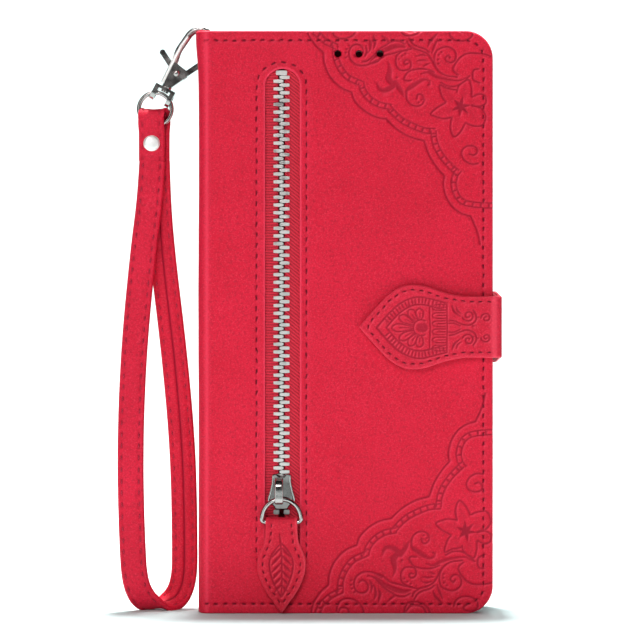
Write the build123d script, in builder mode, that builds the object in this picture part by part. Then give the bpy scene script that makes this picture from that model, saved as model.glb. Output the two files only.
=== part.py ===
"""Phone wallet case with a zip coin pocket, a magnetic clasp tab and a wrist strap.

Millimetres. The case stands upright: +Z runs up its height, +X from the spine to the
free edge, and the front cover faces -Y.
"""

import math
import os

from build123d import *

# Phone, its shell, and the covers round them
phone_width = 75.4
phone_height = 161.5
phone_thickness = 8.6
phone_corner = 8.7
shell_wall = 1.3
shell_floor = 1.2
shell_lip = 0.4  # how far the shell stands over the phone's glass
shell_margin = 1.6  # shell's side to the covers' free edge
shell_end_margin = 1.95  # shell's ends to the covers' top and bottom edges
shell_spine_gap = 5.4  # shell's other side to the spine's outer face
shell_gap = 0.3  # between the card pockets and the shell
corner_radius = 6.5  # covers' corners at the free edge
fold_radius = 3.2  # round of the leather between spine and covers
fold_gap = 0.3  # slit left where a cover turns on the spine

# Sheets, front to back
leather = 0.9
padding = 2.6  # foam that makes room for the coin pocket
board = 0.8
lining = 0.5
pocket_sheet = 0.4
pocket_count = 3
rim = 3.0  # pressed and stitched border where leather and lining meet
core_gap = 0.1  # boards and foam lie this far inside the lining's tray

# Card pockets on the inside of the front cover
pocket_inset = 5.0
pocket_bottom = 12.0
pocket_top = 96.0
pocket_step = 16.0
pocket_notch = 9.0  # radius of the thumb notch

# Speaker holes
speaker_radius = 1.0
speaker_pitch = 6.1
speaker_x_from_edge = 38.6
speaker_from_top = 6.6
speaker_count = 3

# Coin pocket and its zip
coin_pocket_left = 4.0  # from the cover's fold side
coin_pocket_width = 49.0
coin_pocket_margin = 8.0  # from the top and bottom edges
coin_pocket_corner = 3.0
coin_lining = 0.3
zip_from_spine = 24.05  # zip's centre line to the spine's outer face
window_width = 10.4
window_bottom = 11.5
window_from_top = 11.0
tape_thickness = 0.4
tape_width = 9.0
tape_edge = 0.9  # bare edge to the zip's centre line
tape_below = 3.0  # how far the tapes run on under the leather, past the window
tape_above = 2.5
tooth_pitch = 2.23
tooth_height = 1.0
tooth_depth = 1.8
tooth_reach = 0.55  # head past the centre line
tooth_base = 2.3  # foot from the centre line
tooth_slack = 0.04
stop_height = 1.3
stop_width = 3.2
stop_from_window = 0.5
stop_gap = 0.15  # last tooth to the stop above it
stop_corner = 0.3

# Slider, pull ring and leaf
slider_length = 10.2
slider_profile = [(5.7, 0.0), (5.7, 1.7), (7.8, 7.3), (6.8, 8.2), (3.2, 10.2)]  # width, depth
slider_mouth = 2.5  # how far up the two lower mouths open
slider_neck = 1.0  # the same for the upper one
row_in_slider = 4.6  # how far the closed rows reach into it
slider_plate = 0.85
slider_slack = 0.15
slider_flange = 0.4
slider_tape_slot = 0.75
slider_post = 1.5  # width of the diamond between the two rows
slider_post_foot = 0.4  # its foot, shoulders and tip over the slider's bottom
slider_post_shoulder = 3.0
slider_post_tip = 4.6
bridge_width = 2.6
bridge_wall = 0.75
bridge_length = 6.6
bridge_from_top = 2.0
bridge_slope = 2.4
bridge_corner = 0.7
ring_wire = 1.3
ring_radius = 5.6
ring_corner = 0.9
ring_drop = 1.0  # bar below the ring's round centre
leaf_leather = 0.8
leaf_length = 27.7
leaf_top_width = 9.0
leaf_width = 14.1
leaf_neck = (5.8, 9.5)  # distance from the leaf's top, and width there
leaf_belly = 13.85
leaf_flank = (21.6, 8.7)
leaf_join = 3.8  # below the bar, where the two layers meet
leaf_clear = 0.35  # behind the leaf
leaf_tip_height = 0.3

# Clasp
clasp_outer = 0.9
clasp_inner = 1.1
clasp_side_clear = 0.5
clasp_front_clear = 0.3
clasp_fold_radius = 1.8
clasp_slit = 0.1
clasp_centre_height = 82.6
clasp_neck = 17.7
clasp_neck_start = 32.5  # distances from the tab's tip
clasp_widest = 24.4
clasp_crest = 16.1
clasp_shoulder = (7.2, 15.6)  # distance from the tip, and width there
clasp_cheek = (25.0, 20.4)
clasp_lining_inset = 0.3
clasp_taper = 2.0  # where the side strap's taper starts and ends, from the case's faces
clasp_reach = 40.4  # tip to the fold at the free edge
clasp_back_width = 21.0
anchor_leather = 1.0
anchor_reach = 14.0
anchor_corner = 4.0
magnet_size = (13.0, 9.0, 0.8)
magnet_from_tip = 17.0
magnet_corner = 1.15
magnet_gap = 0.05
keeper_size = (18.0, 14.0, 0.6)
keeper_corner = 1.5

# Camera window, port and buttons
camera_width = 34.0
camera_height = 36.0
camera_corner = 6.0
camera_from_edge = 5.5  # window to the phone's side
camera_from_top = 6.0
port_width = 14.0
port_height = 6.4
port_corner = 2.5
speaker_port = (12.0, 2.4)
speaker_port_corner = 1.1
speaker_port_place = 20.0  # from the charging port's middle
button_slot = 3.8
volume_length = 24.0
volume_from_top = 56.0
power_length = 12.0
power_from_top = 81.0

# Lanyard slot in the spine
slot_height = 7.4
slot_width = 4.4
slot_from_top = 8.0

# Clip on the spine. Its points are measured from the spine's top outer edge, x and z
wire = 2.0
hook_clear = 0.35  # wire over the spine's top edge
hook_inside = 0.5  # wire to the spine's lining
clip_lean = 27.8  # degrees from upright
neck = (-9.5, -15.3)
hook_bend = (-6.2, -4.8)
hook_shoulder = -2.0
hook_bend_radii = [8.0, 4.0, 2.4]
hook_nose = 7.6  # nose's round end below the spine's top edge
plate_points = [(-10.5, -15.0), (-8.2, -8.2), (-6.6, -8.6), (-3.1, -11.3), (-3.7, -12.6), (-8.5, -15.9)]
plate_corner = 0.4
gate_slot_points = [
    (-12.0, -12.0),
    (-8.0, -13.3),
    (-2.5, -13.3),
    (-2.5, -7.6),
    (-6.2, -9.2),
    (-8.2, -7.0),
    (-12.0, -4.0),
]
clip_thickness = 3.0
gate_pivot = (-6.7, -11.5)
gate_knee = (-3.6, -11.4)
gate_rise = 34.0  # degrees, from the knee to the tip
gate_tip_clear = 0.15
thumb_end = (-10.7, -5.4)
thumb_radius = 0.85
gate_arm = 1.6
gate_thickness = 0.9
gate_play = 0.1
gate_pin_radius = 0.8
gate_pin_play = 0.05
pin_head = 0.3
collar_radius = 1.5
collar_thickness = 0.8
collar_neck = (1.1, 2.0)  # radius and height of the stub from the collar into the plate
post_radius = 0.7
post_head_radius = 1.1
post_head = 0.5
eye_leg_place = 2.5  # middle of each leg to the clip's axis
eye_leg = 1.3
eye_leg_radius = 2.1
eye_hole_radius = 1.4
eye_top = 0.8
eye_play = 0.1
strap_ring_radius = 4.77
strap_ring_wire = 1.3

# Wrist strap. Route: x and z from its ring's centre, y from the case's middle
strap_width = 8.0
strap_thickness = 2.0
strap_bore = 0.15  # fold round the ring's wire
strap_slit = 0.1
strap_end_drop = 15.2  # lower end of the riveted fold, below the ring's centre
strap_rivet_drop = 10.6
strap_rivet_radius = 2.35
strap_rivet_dome = 1.0
strap_rivet_shank = 0.95
strap_route = [
    (0.0, -1.05, -15.2),
    (0.0, -1.05, -25.2),
    (-2.4, -1.5, -42.2),
    (-5.0, -2.4, -70.2),
    (-6.7, -3.5, -98.2),
    (-6.6, -4.0, -123.2),
    (-5.5, -4.0, -141.3),
    (1.5, 0.0, -145.9),
    (8.3, 4.0, -141.3),
    (8.4, 4.0, -123.2),
    (7.7, 3.5, -98.2),
    (4.7, 2.4, -70.2),
    (1.3, 1.5, -42.2),
    (0.0, 1.05, -25.2),
    (0.0, 1.05, -15.2),
]

# Places worked out from the sizes
shell_width = phone_width + 2 * shell_wall
shell_height = phone_height + 2 * shell_wall
case_width = shell_spine_gap + shell_width + shell_margin
case_height = shell_height + 2 * shell_end_margin
clasp_thickness = clasp_outer + clasp_inner
clasp_out = clasp_side_clear + clasp_thickness
spine_x = -(case_width + clasp_out) / 2
free_edge = spine_x + case_width
clasp_side_x = free_edge + clasp_out
clasp_root = clasp_side_x - clasp_fold_radius - clasp_slit
cover_left = spine_x + fold_radius + fold_gap

bar_stand = leaf_clear + leaf_leather + ring_wire / 2 + 0.05
pull_rise = bar_stand + ring_wire / 2 + 0.05 + leaf_leather
shell_depth = shell_floor + phone_thickness + shell_lip
cover_depth = leather + padding + board + lining
case_depth = cover_depth + pocket_count * pocket_sheet + shell_gap + shell_depth
case_depth += lining + board + leather
front_face = (pull_rise - case_depth - anchor_leather) / 2
back_face = front_face + case_depth
middle = (front_face + back_face) / 2

leather_back = front_face + leather
foam_back = leather_back + padding
board_back = foam_back + board
cover_back = board_back + lining
shell_front = cover_back + pocket_count * pocket_sheet + shell_gap
shell_back = shell_front + shell_depth
back_board_front = shell_back + lining
back_leather_front = back_board_front + board

shell_right = free_edge - shell_margin
shell_x = shell_right - shell_width / 2
shell_z = case_height / 2
phone_right = shell_right - shell_wall
phone_top = shell_z + phone_height / 2

zip_x = spine_x + zip_from_spine
tape_front = leather_back
tape_middle = tape_front + tape_thickness / 2
window_top = case_height - window_from_top
window_height = window_top - window_bottom
window_z = (window_top + window_bottom) / 2
ring_y = front_face - bar_stand

bar_z = leaf_tip_height + leaf_length - ring_wire / 2 - 0.05 - leaf_leather
ring_z = bar_z + ring_drop
pivot_z = ring_z + ring_radius
bridge_bottom = pivot_z - ring_wire / 2 - 0.1 - bridge_wall
slider_top = bridge_bottom + bridge_length + bridge_from_top
slider_bottom = slider_top - slider_length
zip_stop_z = window_top - stop_from_window - stop_height
zip_travel = zip_stop_z - 0.1 - slider_top


def facing(y):
    """Plane at depth y seen from the front: x to the right, z up, normal towards -Y."""
    return Plane(origin=(0, y, 0), x_dir=(1, 0, 0), z_dir=(0, -1, 0))


def cover_outline(y, inset, left):
    """Cover's outline at depth y: square at the spine, round corners at the free edge."""
    right = free_edge - inset
    height = case_height - 2 * inset
    with BuildSketch(facing(y)) as outline:
        with Locations(((left + right) / 2, case_height / 2)):
            Rectangle(right - left, height)
        corners = outline.vertices().sort_by(Axis.X)[-2:]
        fillet(corners, max(corner_radius - inset, 0.5))
    return outline.sketch


def speaker_holes(y):
    """The row of holes over the phone's earpiece."""
    with BuildSketch(facing(y)) as holes:
        with Locations((free_edge - speaker_x_from_edge, case_height - speaker_from_top)):
            with GridLocations(speaker_pitch, 1, speaker_count, 1):
                Circle(speaker_radius)
    return holes.sketch


def zip_window(y, grow):
    """The zip's long opening with round ends."""
    with BuildSketch(facing(y)) as window:
        with Locations((zip_x, window_z)):
            SlotOverall(window_height + 2 * grow, window_width + 2 * grow, rotation=90)
    return window.sketch


def camera_window(y):
    """The camera's opening at the top of the back, on the free edge's side."""
    with BuildSketch(facing(y)) as window:
        x = phone_right - camera_from_edge - camera_width / 2
        z = phone_top - camera_from_top - camera_height / 2
        with Locations((x, z)):
            RectangleRounded(camera_width, camera_height, camera_corner)
    return window.sketch


def fold_channel(outer_x, radius, front, back, thickness, side):
    """Section of a sheet bent round two edges: side is 1 where it opens to +X, -1 to -X."""
    inner = radius - thickness
    edge = outer_x + side * radius
    with BuildSketch(Plane.XY) as section:
        with BuildLine():
            front_out = (edge, front)
            front_turn = (outer_x, front + radius)
            back_turn = (outer_x, back - radius)
            back_out = (edge, back)
            bow = radius * math.sqrt(0.5)
            inner_bow = inner * math.sqrt(0.5)
            front_mid = (edge - side * bow, front + radius - bow)
            back_mid = (edge - side * bow, back - radius + bow)
            inner_front = (edge - side * inner_bow, front + radius - inner_bow)
            inner_back = (edge - side * inner_bow, back - radius + inner_bow)
            inner_x = outer_x + side * thickness
            ThreePointArc(front_out, front_mid, front_turn)
            Line(front_turn, back_turn)
            ThreePointArc(back_turn, back_mid, back_out)
            Line(back_out, (edge, back - thickness))
            ThreePointArc((edge, back - thickness), inner_back, (inner_x, back - radius))
            Line((inner_x, back - radius), (inner_x, front + radius))
            ThreePointArc((inner_x, front + radius), inner_front, (edge, front + thickness))
            Line((edge, front + thickness), front_out)
        make_face()
    return section.sketch


def tab_outline(y, inset, root):
    """Clasp tab's outline: a straight neck from root that swells and comes to a point."""
    tip = clasp_root - clasp_reach
    neck = clasp_neck / 2 - inset
    with BuildSketch(facing(y)) as outline:
        with BuildLine():
            nose = (tip + inset * 1.4, clasp_centre_height)
            for side in (1, -1):

                def edge_point(from_tip, width):
                    return (tip + from_tip, clasp_centre_height + side * (width / 2 - inset))

                shoulder = edge_point(*clasp_shoulder)
                crest = edge_point(clasp_crest, clasp_widest)
                start = edge_point(clasp_neck_start, clasp_neck)
                Line(nose, shoulder)
                Spline(
                    shoulder,
                    crest,
                    edge_point(*clasp_cheek),
                    start,
                    tangents=[(0.7, side * 0.7), (1, 0)],
                )
                Line(start, (root, clasp_centre_height + side * neck))
            Line(
                (root, clasp_centre_height + neck),
                (root, clasp_centre_height - neck),
            )
        make_face()
    return outline.sketch


def leaf_outline(y):
    """Leaf pull's outline below the ring's bar."""
    top = bar_z + ring_wire / 2 + 0.05 + leaf_leather
    tip = top - leaf_length
    with BuildSketch(facing(y)) as outline:
        with BuildLine():
            for side in (1, -1):
                shoulder = (zip_x + side * leaf_top_width / 2, top)
                neck = (zip_x + side * leaf_neck[1] / 2, top - leaf_neck[0])
                belly = (zip_x + side * leaf_width / 2, top - leaf_belly)
                flank = (zip_x + side * leaf_flank[1] / 2, top - leaf_flank[0])
                Line(shoulder, neck)
                Spline(neck, belly, flank, (zip_x, tip), tangents=[(side * 0.2, -1), (-side * 0.62, -1)])
            Line(
                (zip_x - leaf_top_width / 2, top),
                (zip_x + leaf_top_width / 2, top),
            )
        make_face()
    return outline.sketch


os.makedirs("parts", exist_ok=True)


def keep(part, name):
    """Label a finished piece and write it."""
    part.part.label = name
    export_step(part.part, f"parts/{name}.step")


# Front cover: leather, foam round the coin pocket, board, lining tray
with BuildPart() as front_leather:
    extrude(cover_outline(leather_back, 0, cover_left), amount=leather)
    extrude(zip_window(leather_back, 0), amount=leather, mode=Mode.SUBTRACT)
    extrude(speaker_holes(leather_back), amount=leather, mode=Mode.SUBTRACT)
keep(front_leather, "front_leather")

core_left = cover_left + lining + core_gap
keeper_x = clasp_root - clasp_reach + magnet_from_tip
core_inset = rim + core_gap

with BuildPart() as front_foam:
    extrude(cover_outline(foam_back, core_inset, core_left), amount=padding)
    with BuildSketch(facing(foam_back)):
        left = cover_left + coin_pocket_left
        with Locations((left + coin_pocket_width / 2, case_height / 2)):
            RectangleRounded(
                coin_pocket_width, case_height - 2 * coin_pocket_margin, coin_pocket_corner
            )
    extrude(amount=padding, mode=Mode.SUBTRACT)
    with BuildSketch(facing(leather_back + keeper_size[2] + core_gap)):
        with Locations((keeper_x, clasp_centre_height)):
            Rectangle(keeper_size[0] + 2 * core_gap, keeper_size[1] + 2 * core_gap)
    extrude(amount=keeper_size[2] + core_gap, mode=Mode.SUBTRACT)
    extrude(speaker_holes(foam_back), amount=padding, mode=Mode.SUBTRACT)
keep(front_foam, "front_foam")

with BuildPart() as front_board:
    extrude(cover_outline(board_back, core_inset, core_left), amount=board)
    extrude(speaker_holes(board_back), amount=board, mode=Mode.SUBTRACT)
keep(front_board, "front_board")

with BuildPart() as front_lining:
    extrude(cover_outline(leather_back + lining, 0, cover_left), amount=lining)
    extrude(cover_outline(cover_back, rim - lining, cover_left), amount=cover_back - leather_back)
    hollow = board_back - leather_back
    extrude(cover_outline(board_back, rim, cover_left + lining), amount=hollow, mode=Mode.SUBTRACT)
    extrude(speaker_holes(cover_back), amount=cover_back - leather_back, mode=Mode.SUBTRACT)
keep(front_lining, "front_lining")

with BuildPart() as coin_pocket_lining:
    with BuildSketch(facing(foam_back)):
        with Locations((left + coin_pocket_width / 2, case_height / 2)):
            Rectangle(
                coin_pocket_width - 2 * core_gap,
                case_height - 2 * coin_pocket_margin - 2 * coin_pocket_corner,
            )
    extrude(amount=coin_lining)
keep(coin_pocket_lining, "coin_pocket_lining")

with BuildPart() as clasp_keeper:
    with BuildSketch(facing(leather_back + keeper_size[2])):
        with Locations((keeper_x, clasp_centre_height)):
            RectangleRounded(keeper_size[0], keeper_size[1], keeper_corner)
    extrude(amount=keeper_size[2])
keep(clasp_keeper, "clasp_keeper")

pocket_left = cover_left + pocket_inset
pocket_right = free_edge - pocket_inset
for number in range(pocket_count):
    top = pocket_top - number * pocket_step
    with BuildPart() as card_pocket:
        with BuildSketch(facing(cover_back + (number + 1) * pocket_sheet)):
            with Locations(((pocket_left + pocket_right) / 2, (pocket_bottom + top) / 2)):
                Rectangle(pocket_right - pocket_left, top - pocket_bottom)
            with Locations(((pocket_left + pocket_right) / 2, top)):
                Circle(pocket_notch, mode=Mode.SUBTRACT)
        extrude(amount=pocket_sheet)
    keep(card_pocket, f"card_pocket_{number + 1}")

# Zip: tapes behind the leather, interlocking rows of teeth, stops
tape_bottom = window_bottom - tape_below
tape_top = window_top + tape_above
row_top = zip_stop_z - stop_gap
tooth_count = int((row_top - (slider_top - row_in_slider)) / tooth_pitch)
row_bottom = row_top - tooth_height / 2 - (tooth_count - 0.5) * tooth_pitch
for side, word, lift in ((-1, "left", 0.0), (1, "right", 0.5)):
    with BuildPart() as zip_tape:
        with BuildSketch(facing(tape_front + tape_thickness)):
            inner = zip_x + side * tape_edge
            outer = zip_x + side * (tape_edge + tape_width)
            with Locations(((inner + outer) / 2, (tape_bottom + tape_top) / 2)):
                Rectangle(tape_width, tape_top - tape_bottom)
        extrude(amount=tape_thickness)
    keep(zip_tape, f"zip_tape_{word}")

    with BuildPart() as zip_teeth:
        with BuildSketch(facing(tape_middle + tooth_depth / 2)):
            for number in range(tooth_count):
                z = row_bottom + (number + lift) * tooth_pitch
                half = tooth_height / 2
                with BuildLine():
                    Polyline(
                        (zip_x + side * tooth_base, z - half * 0.8),
                        (zip_x + side * tape_edge * 1.3, z - half),
                        (zip_x, z - half),
                        (zip_x - side * tooth_reach, z - half * 0.5),
                        (zip_x - side * tooth_reach, z + half * 0.5),
                        (zip_x, z + half),
                        (zip_x + side * tape_edge * 1.3, z + half),
                        (zip_x + side * tooth_base, z + half * 0.8),
                        close=True,
                    )
                make_face()
        extrude(amount=tooth_depth)
        with BuildSketch(facing(tape_middle + tape_thickness / 2 + tooth_slack)):
            start = zip_x + side * (tape_edge - tooth_slack)
            end = zip_x + side * (tooth_base + 1)
            with Locations(((start + end) / 2, case_height / 2)):
                Rectangle(abs(end - start), case_height)
        extrude(amount=tape_thickness + 2 * tooth_slack, mode=Mode.SUBTRACT)
    keep(zip_teeth, f"zip_teeth_{word}")

    with BuildPart() as zip_stop:
        with BuildSketch(facing(tape_middle + tooth_depth / 2)):
            inner = zip_x + side * (tape_edge - tooth_slack - 0.2)
            outer = zip_x + side * tooth_base
            with Locations(((inner + outer) / 2, slider_bottom - 0.1 - stop_height / 2)):
                RectangleRounded(abs(outer - inner), stop_height, stop_corner)
        extrude(amount=tooth_depth)
        with BuildSketch(facing(tape_middle + tape_thickness / 2 + tooth_slack)):
            with Locations(((start + end) / 2, slider_bottom)):
                Rectangle(abs(end - start), stop_height * 4)
        extrude(amount=tape_thickness + 2 * tooth_slack, mode=Mode.SUBTRACT)
    keep(zip_stop, f"zip_stop_{word}")

with BuildPart() as zip_end_stop:
    with BuildSketch(facing(tape_middle + tooth_depth / 2)):
        with Locations((zip_x, zip_stop_z + stop_height / 2)):
            RectangleRounded(stop_width, stop_height, stop_corner)
    extrude(amount=tooth_depth)
    for side in (-1, 1):
        with BuildSketch(facing(tape_middle + tape_thickness / 2 + tooth_slack)):
            with Locations((zip_x + side * (tape_edge - tooth_slack + 2), zip_stop_z)):
                Rectangle(4, stop_height * 4)
        extrude(amount=tape_thickness + 2 * tooth_slack, mode=Mode.SUBTRACT)
keep(zip_end_stop, "zip_end_stop")


def slider_outline(y, inset):
    """Slider's plate: narrow above, shoulders below, a nose between the mouths."""
    right = [(zip_x + width / 2 - inset, slider_top - down) for width, down in slider_profile]
    left = [(2 * zip_x - x, z) for x, z in reversed(right)]
    with BuildSketch(facing(y)) as outline:
        Polygon(*right, *left, align=None)
    return outline.sketch


slider_top_width = slider_profile[0][0]
slider_widest = max(width for width, down in slider_profile)
channel_half = tooth_depth / 2 + slider_slack
with BuildPart() as zip_slider:
    extrude(
        slider_outline(tape_middle + channel_half + slider_plate, 0),
        amount=2 * (channel_half + slider_plate),
    )
    # channel for the rows, between the plates
    extrude(
        slider_outline(tape_middle + channel_half, slider_flange),
        amount=2 * channel_half,
        mode=Mode.SUBTRACT,
    )
    with BuildSketch(facing(tape_middle + channel_half)):
        with Locations((zip_x, slider_top)):
            Rectangle(slider_top_width - 2 * slider_flange, 2 * slider_neck)
        with Locations((zip_x, slider_bottom)):
            Rectangle(slider_widest, 2 * slider_mouth)
    extrude(amount=2 * channel_half, mode=Mode.SUBTRACT)
    # slot for the tapes between the flanges
    with BuildSketch(facing(tape_middle + slider_tape_slot / 2)):
        with Locations((zip_x, (slider_top + slider_bottom) / 2)):
            Rectangle(2 * slider_widest, 2 * slider_length)
    extrude(amount=slider_tape_slot, mode=Mode.SUBTRACT)
    # diamond that parts the rows
    with BuildSketch(facing(tape_middle + channel_half)):
        with BuildLine():
            Polyline(
                (zip_x, slider_bottom + slider_post_tip),
                (zip_x - slider_post / 2, slider_bottom + slider_post_shoulder),
                (zip_x - slider_post / 2, slider_bottom + slider_post_foot),
                (zip_x + slider_post / 2, slider_bottom + slider_post_foot),
                (zip_x + slider_post / 2, slider_bottom + slider_post_shoulder),
                close=True,
            )
        make_face()
    extrude(amount=2 * channel_half)
    # bridge that holds the ring
    plate_y = tape_middle - channel_half - slider_plate
    bridge_y = ring_y - ring_wire / 2 - 0.1 - bridge_wall
    with BuildSketch(Plane.YZ.offset(zip_x - bridge_width / 2)) as arch:
        with BuildLine():
            Polyline(
                (plate_y + 0.2, bridge_bottom),
                (bridge_y, bridge_bottom),
                (bridge_y, bridge_bottom + bridge_length - bridge_slope),
                (plate_y + 0.2, bridge_bottom + bridge_length),
                close=True,
            )
        make_face()
        fillet(arch.vertices().sort_by(Axis.X)[:2], bridge_corner)
        low_z = bridge_bottom + bridge_wall
        with BuildLine():
            Polyline(
                (plate_y, low_z),
                (bridge_y + bridge_wall, low_z),
                (bridge_y + bridge_wall, low_z + bridge_slope),
                (plate_y, low_z + 1.5 * bridge_slope),
                close=True,
            )
        make_face(mode=Mode.SUBTRACT)
    extrude(amount=bridge_width)
keep(zip_slider, "zip_slider")

with BuildPart() as pull_ring:
    with BuildLine(facing(ring_y)):
        side_z = bar_z + ring_corner
        ThreePointArc(
            (zip_x - ring_radius, ring_z),
            (zip_x, ring_z + ring_radius),
            (zip_x + ring_radius, ring_z),
        )
        FilletPolyline(
            (zip_x + ring_radius, ring_z),
            (zip_x + ring_radius, bar_z),
            (zip_x - ring_radius, bar_z),
            (zip_x - ring_radius, ring_z),
            radius=min(ring_corner, ring_drop * 0.95),
        )
    with BuildSketch(Plane(origin=(zip_x, ring_y, bar_z), z_dir=(1, 0, 0))):
        Circle(ring_wire / 2)
    sweep()
keep(pull_ring, "pull_ring")

# Leaf pull: one strip folded round the bar, its two layers sewn together
leaf_hole = ring_wire / 2 + 0.05
leaf_back_y = front_face - leaf_clear
leaf_middle_y = leaf_back_y - leaf_leather
with BuildPart() as leaf_front:
    with BuildSketch(Plane.YZ.offset(zip_x - leaf_width)):
        with Locations((ring_y, bar_z)):
            Circle(leaf_hole + leaf_leather)
            Circle(leaf_hole, mode=Mode.SUBTRACT)
        with Locations((ring_y, bar_z - leaf_length / 2)):
            Rectangle(leaf_width, leaf_length, mode=Mode.SUBTRACT)
        outer_y = ring_y - leaf_hole - leaf_leather
        with BuildLine():
            Polyline(
                (outer_y, bar_z),
                (outer_y + leaf_leather, bar_z),
                (outer_y + leaf_leather, bar_z - ring_wire / 2),
                (leaf_middle_y, bar_z - leaf_join),
                (leaf_middle_y, leaf_tip_height),
                (leaf_middle_y - leaf_leather, leaf_tip_height),
                (leaf_middle_y - leaf_leather, bar_z - leaf_join),
                (outer_y, bar_z - ring_wire / 2),
                close=True,
            )
        make_face()
    extrude(amount=2 * leaf_width)
    extrude(leaf_outline(front_face), amount=2 * pull_rise, mode=Mode.INTERSECT)
keep(leaf_front, "leaf_front")

with BuildPart() as leaf_back:
    extrude(leaf_outline(leaf_back_y), amount=leaf_leather)
    with BuildSketch(facing(leaf_back_y)):
        with Locations((zip_x, bar_z + leaf_width / 2)):
            Rectangle(2 * leaf_width, leaf_width)
    extrude(amount=leaf_leather, mode=Mode.SUBTRACT)
keep(leaf_back, "leaf_back")

# Spine with the lanyard slot
spine_slot_z = case_height - slot_from_top
with BuildPart() as spine_leather:
    section = fold_channel(spine_x, fold_radius, front_face, back_face, leather, 1)
    extrude(section, amount=case_height)
    with BuildSketch(Plane.YZ.offset(spine_x)):
        with Locations((middle, spine_slot_z)):
            SlotOverall(slot_height, slot_width, rotation=90)
    extrude(amount=leather, mode=Mode.SUBTRACT)
keep(spine_leather, "spine_leather")

with BuildPart() as spine_lining:
    section = fold_channel(
        spine_x + leather,
        fold_radius - leather,
        front_face + leather,
        back_face - leather,
        lining,
        1,
    )
    extrude(section, amount=case_height)
    with BuildSketch(Plane.YZ.offset(spine_x + leather)):
        with Locations((middle, spine_slot_z)):
            SlotOverall(slot_height, slot_width, rotation=90)
    extrude(amount=lining, mode=Mode.SUBTRACT)
keep(spine_lining, "spine_lining")

# Back cover: lining tray, board, leather, all with the camera window
with BuildPart() as back_leather:
    extrude(cover_outline(back_face, 0, cover_left), amount=leather)
    extrude(camera_window(back_face), amount=leather, mode=Mode.SUBTRACT)
keep(back_leather, "back_leather")

with BuildPart() as back_board:
    extrude(cover_outline(back_leather_front, core_inset, core_left), amount=board)
    extrude(camera_window(back_leather_front), amount=board, mode=Mode.SUBTRACT)
keep(back_board, "back_board")

with BuildPart() as back_lining:
    extrude(cover_outline(back_leather_front, 0, cover_left), amount=lining)
    extrude(cover_outline(back_leather_front, rim - lining, cover_left), amount=board + lining)
    extrude(cover_outline(back_leather_front, rim, cover_left + lining), amount=board, mode=Mode.SUBTRACT)
    extrude(camera_window(back_leather_front), amount=board + lining, mode=Mode.SUBTRACT)
keep(back_lining, "back_lining")

# Phone shell: a flexible tray with cut-outs for camera, port and buttons
with BuildPart() as phone_shell:
    with BuildSketch(facing(shell_back)):
        with Locations((shell_x, shell_z)):
            RectangleRounded(shell_width, shell_height, phone_corner + shell_wall)
    extrude(amount=shell_depth)
    with BuildSketch(facing(shell_back - shell_floor)):
        with Locations((shell_x, shell_z)):
            RectangleRounded(phone_width, phone_height, phone_corner)
    extrude(amount=shell_depth, mode=Mode.SUBTRACT)
    extrude(camera_window(shell_back), amount=shell_floor, mode=Mode.SUBTRACT)
    phone_middle = shell_back - shell_floor - phone_thickness / 2
    with BuildSketch(Plane.XY.offset(shell_z - shell_height / 2)):
        with Locations((shell_x, phone_middle)):
            RectangleRounded(port_width, port_height, port_corner)
            with GridLocations(2 * speaker_port_place, 1, 2, 1):
                RectangleRounded(*speaker_port, speaker_port_corner)
    extrude(amount=shell_wall, mode=Mode.SUBTRACT)
    with BuildSketch(Plane.YZ.offset(phone_right)):
        with Locations((phone_middle, case_height - volume_from_top)):
            SlotOverall(volume_length, button_slot, rotation=90)
        with Locations((phone_middle, case_height - power_from_top)):
            SlotOverall(power_length, button_slot, rotation=90)
    extrude(amount=shell_wall, mode=Mode.SUBTRACT)
keep(phone_shell, "phone_shell")

# Clasp: anchor on the back, side strap round the free edge, tab over the front
anchor_left = free_edge - anchor_reach
fold_x = clasp_side_x - clasp_fold_radius
with BuildPart() as clasp_anchor:
    with BuildSketch(facing(back_face + anchor_leather)) as patch:
        right = fold_x - clasp_slit
        with Locations(((anchor_left + right) / 2, clasp_centre_height)):
            Rectangle(right - anchor_left, clasp_back_width)
        fillet(patch.vertices().sort_by(Axis.X)[:2], anchor_corner)
    extrude(amount=anchor_leather)
keep(clasp_anchor, "clasp_anchor")

side_front = front_face - clasp_front_clear - clasp_thickness
side_back = back_face + anchor_leather


def side_taper():
    """The side strap's height: wide at the back, the tab's neck at the front."""
    with BuildSketch(Plane.YZ.offset(free_edge)) as taper:
        with BuildLine():
            Polyline(
                (side_front, clasp_centre_height - clasp_neck / 2),
                (front_face + clasp_taper, clasp_centre_height - clasp_neck / 2),
                (back_face - clasp_taper, clasp_centre_height - clasp_back_width / 2),
                (side_back, clasp_centre_height - clasp_back_width / 2),
                (side_back, clasp_centre_height + clasp_back_width / 2),
                (back_face - clasp_taper, clasp_centre_height + clasp_back_width / 2),
                (front_face + clasp_taper, clasp_centre_height + clasp_neck / 2),
                (side_front, clasp_centre_height + clasp_neck / 2),
                close=True,
            )
        make_face()
    return taper.sketch


with BuildPart() as clasp_side_leather:
    section = fold_channel(
        clasp_side_x, clasp_fold_radius, side_front, side_back, clasp_outer, -1
    )
    extrude(section, amount=case_height)
    extrude(side_taper(), amount=clasp_out, mode=Mode.INTERSECT)
keep(clasp_side_leather, "clasp_side_leather")

with BuildPart() as clasp_side_lining:
    with BuildSketch(Plane.XY):
        left = free_edge + clasp_side_clear
        right = clasp_side_x - clasp_outer
        front = side_front + clasp_fold_radius
        back = side_back - clasp_fold_radius
        with Locations(((left + right) / 2, (front + back) / 2)):
            Rectangle(right - left, back - front)
    extrude(amount=case_height)
    extrude(side_taper(), amount=clasp_out, mode=Mode.INTERSECT)
keep(clasp_side_lining, "clasp_side_lining")

with BuildPart() as clasp_tab_leather:
    extrude(tab_outline(side_front + clasp_outer, 0, clasp_root), amount=clasp_outer)
keep(clasp_tab_leather, "clasp_tab_leather")

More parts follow.
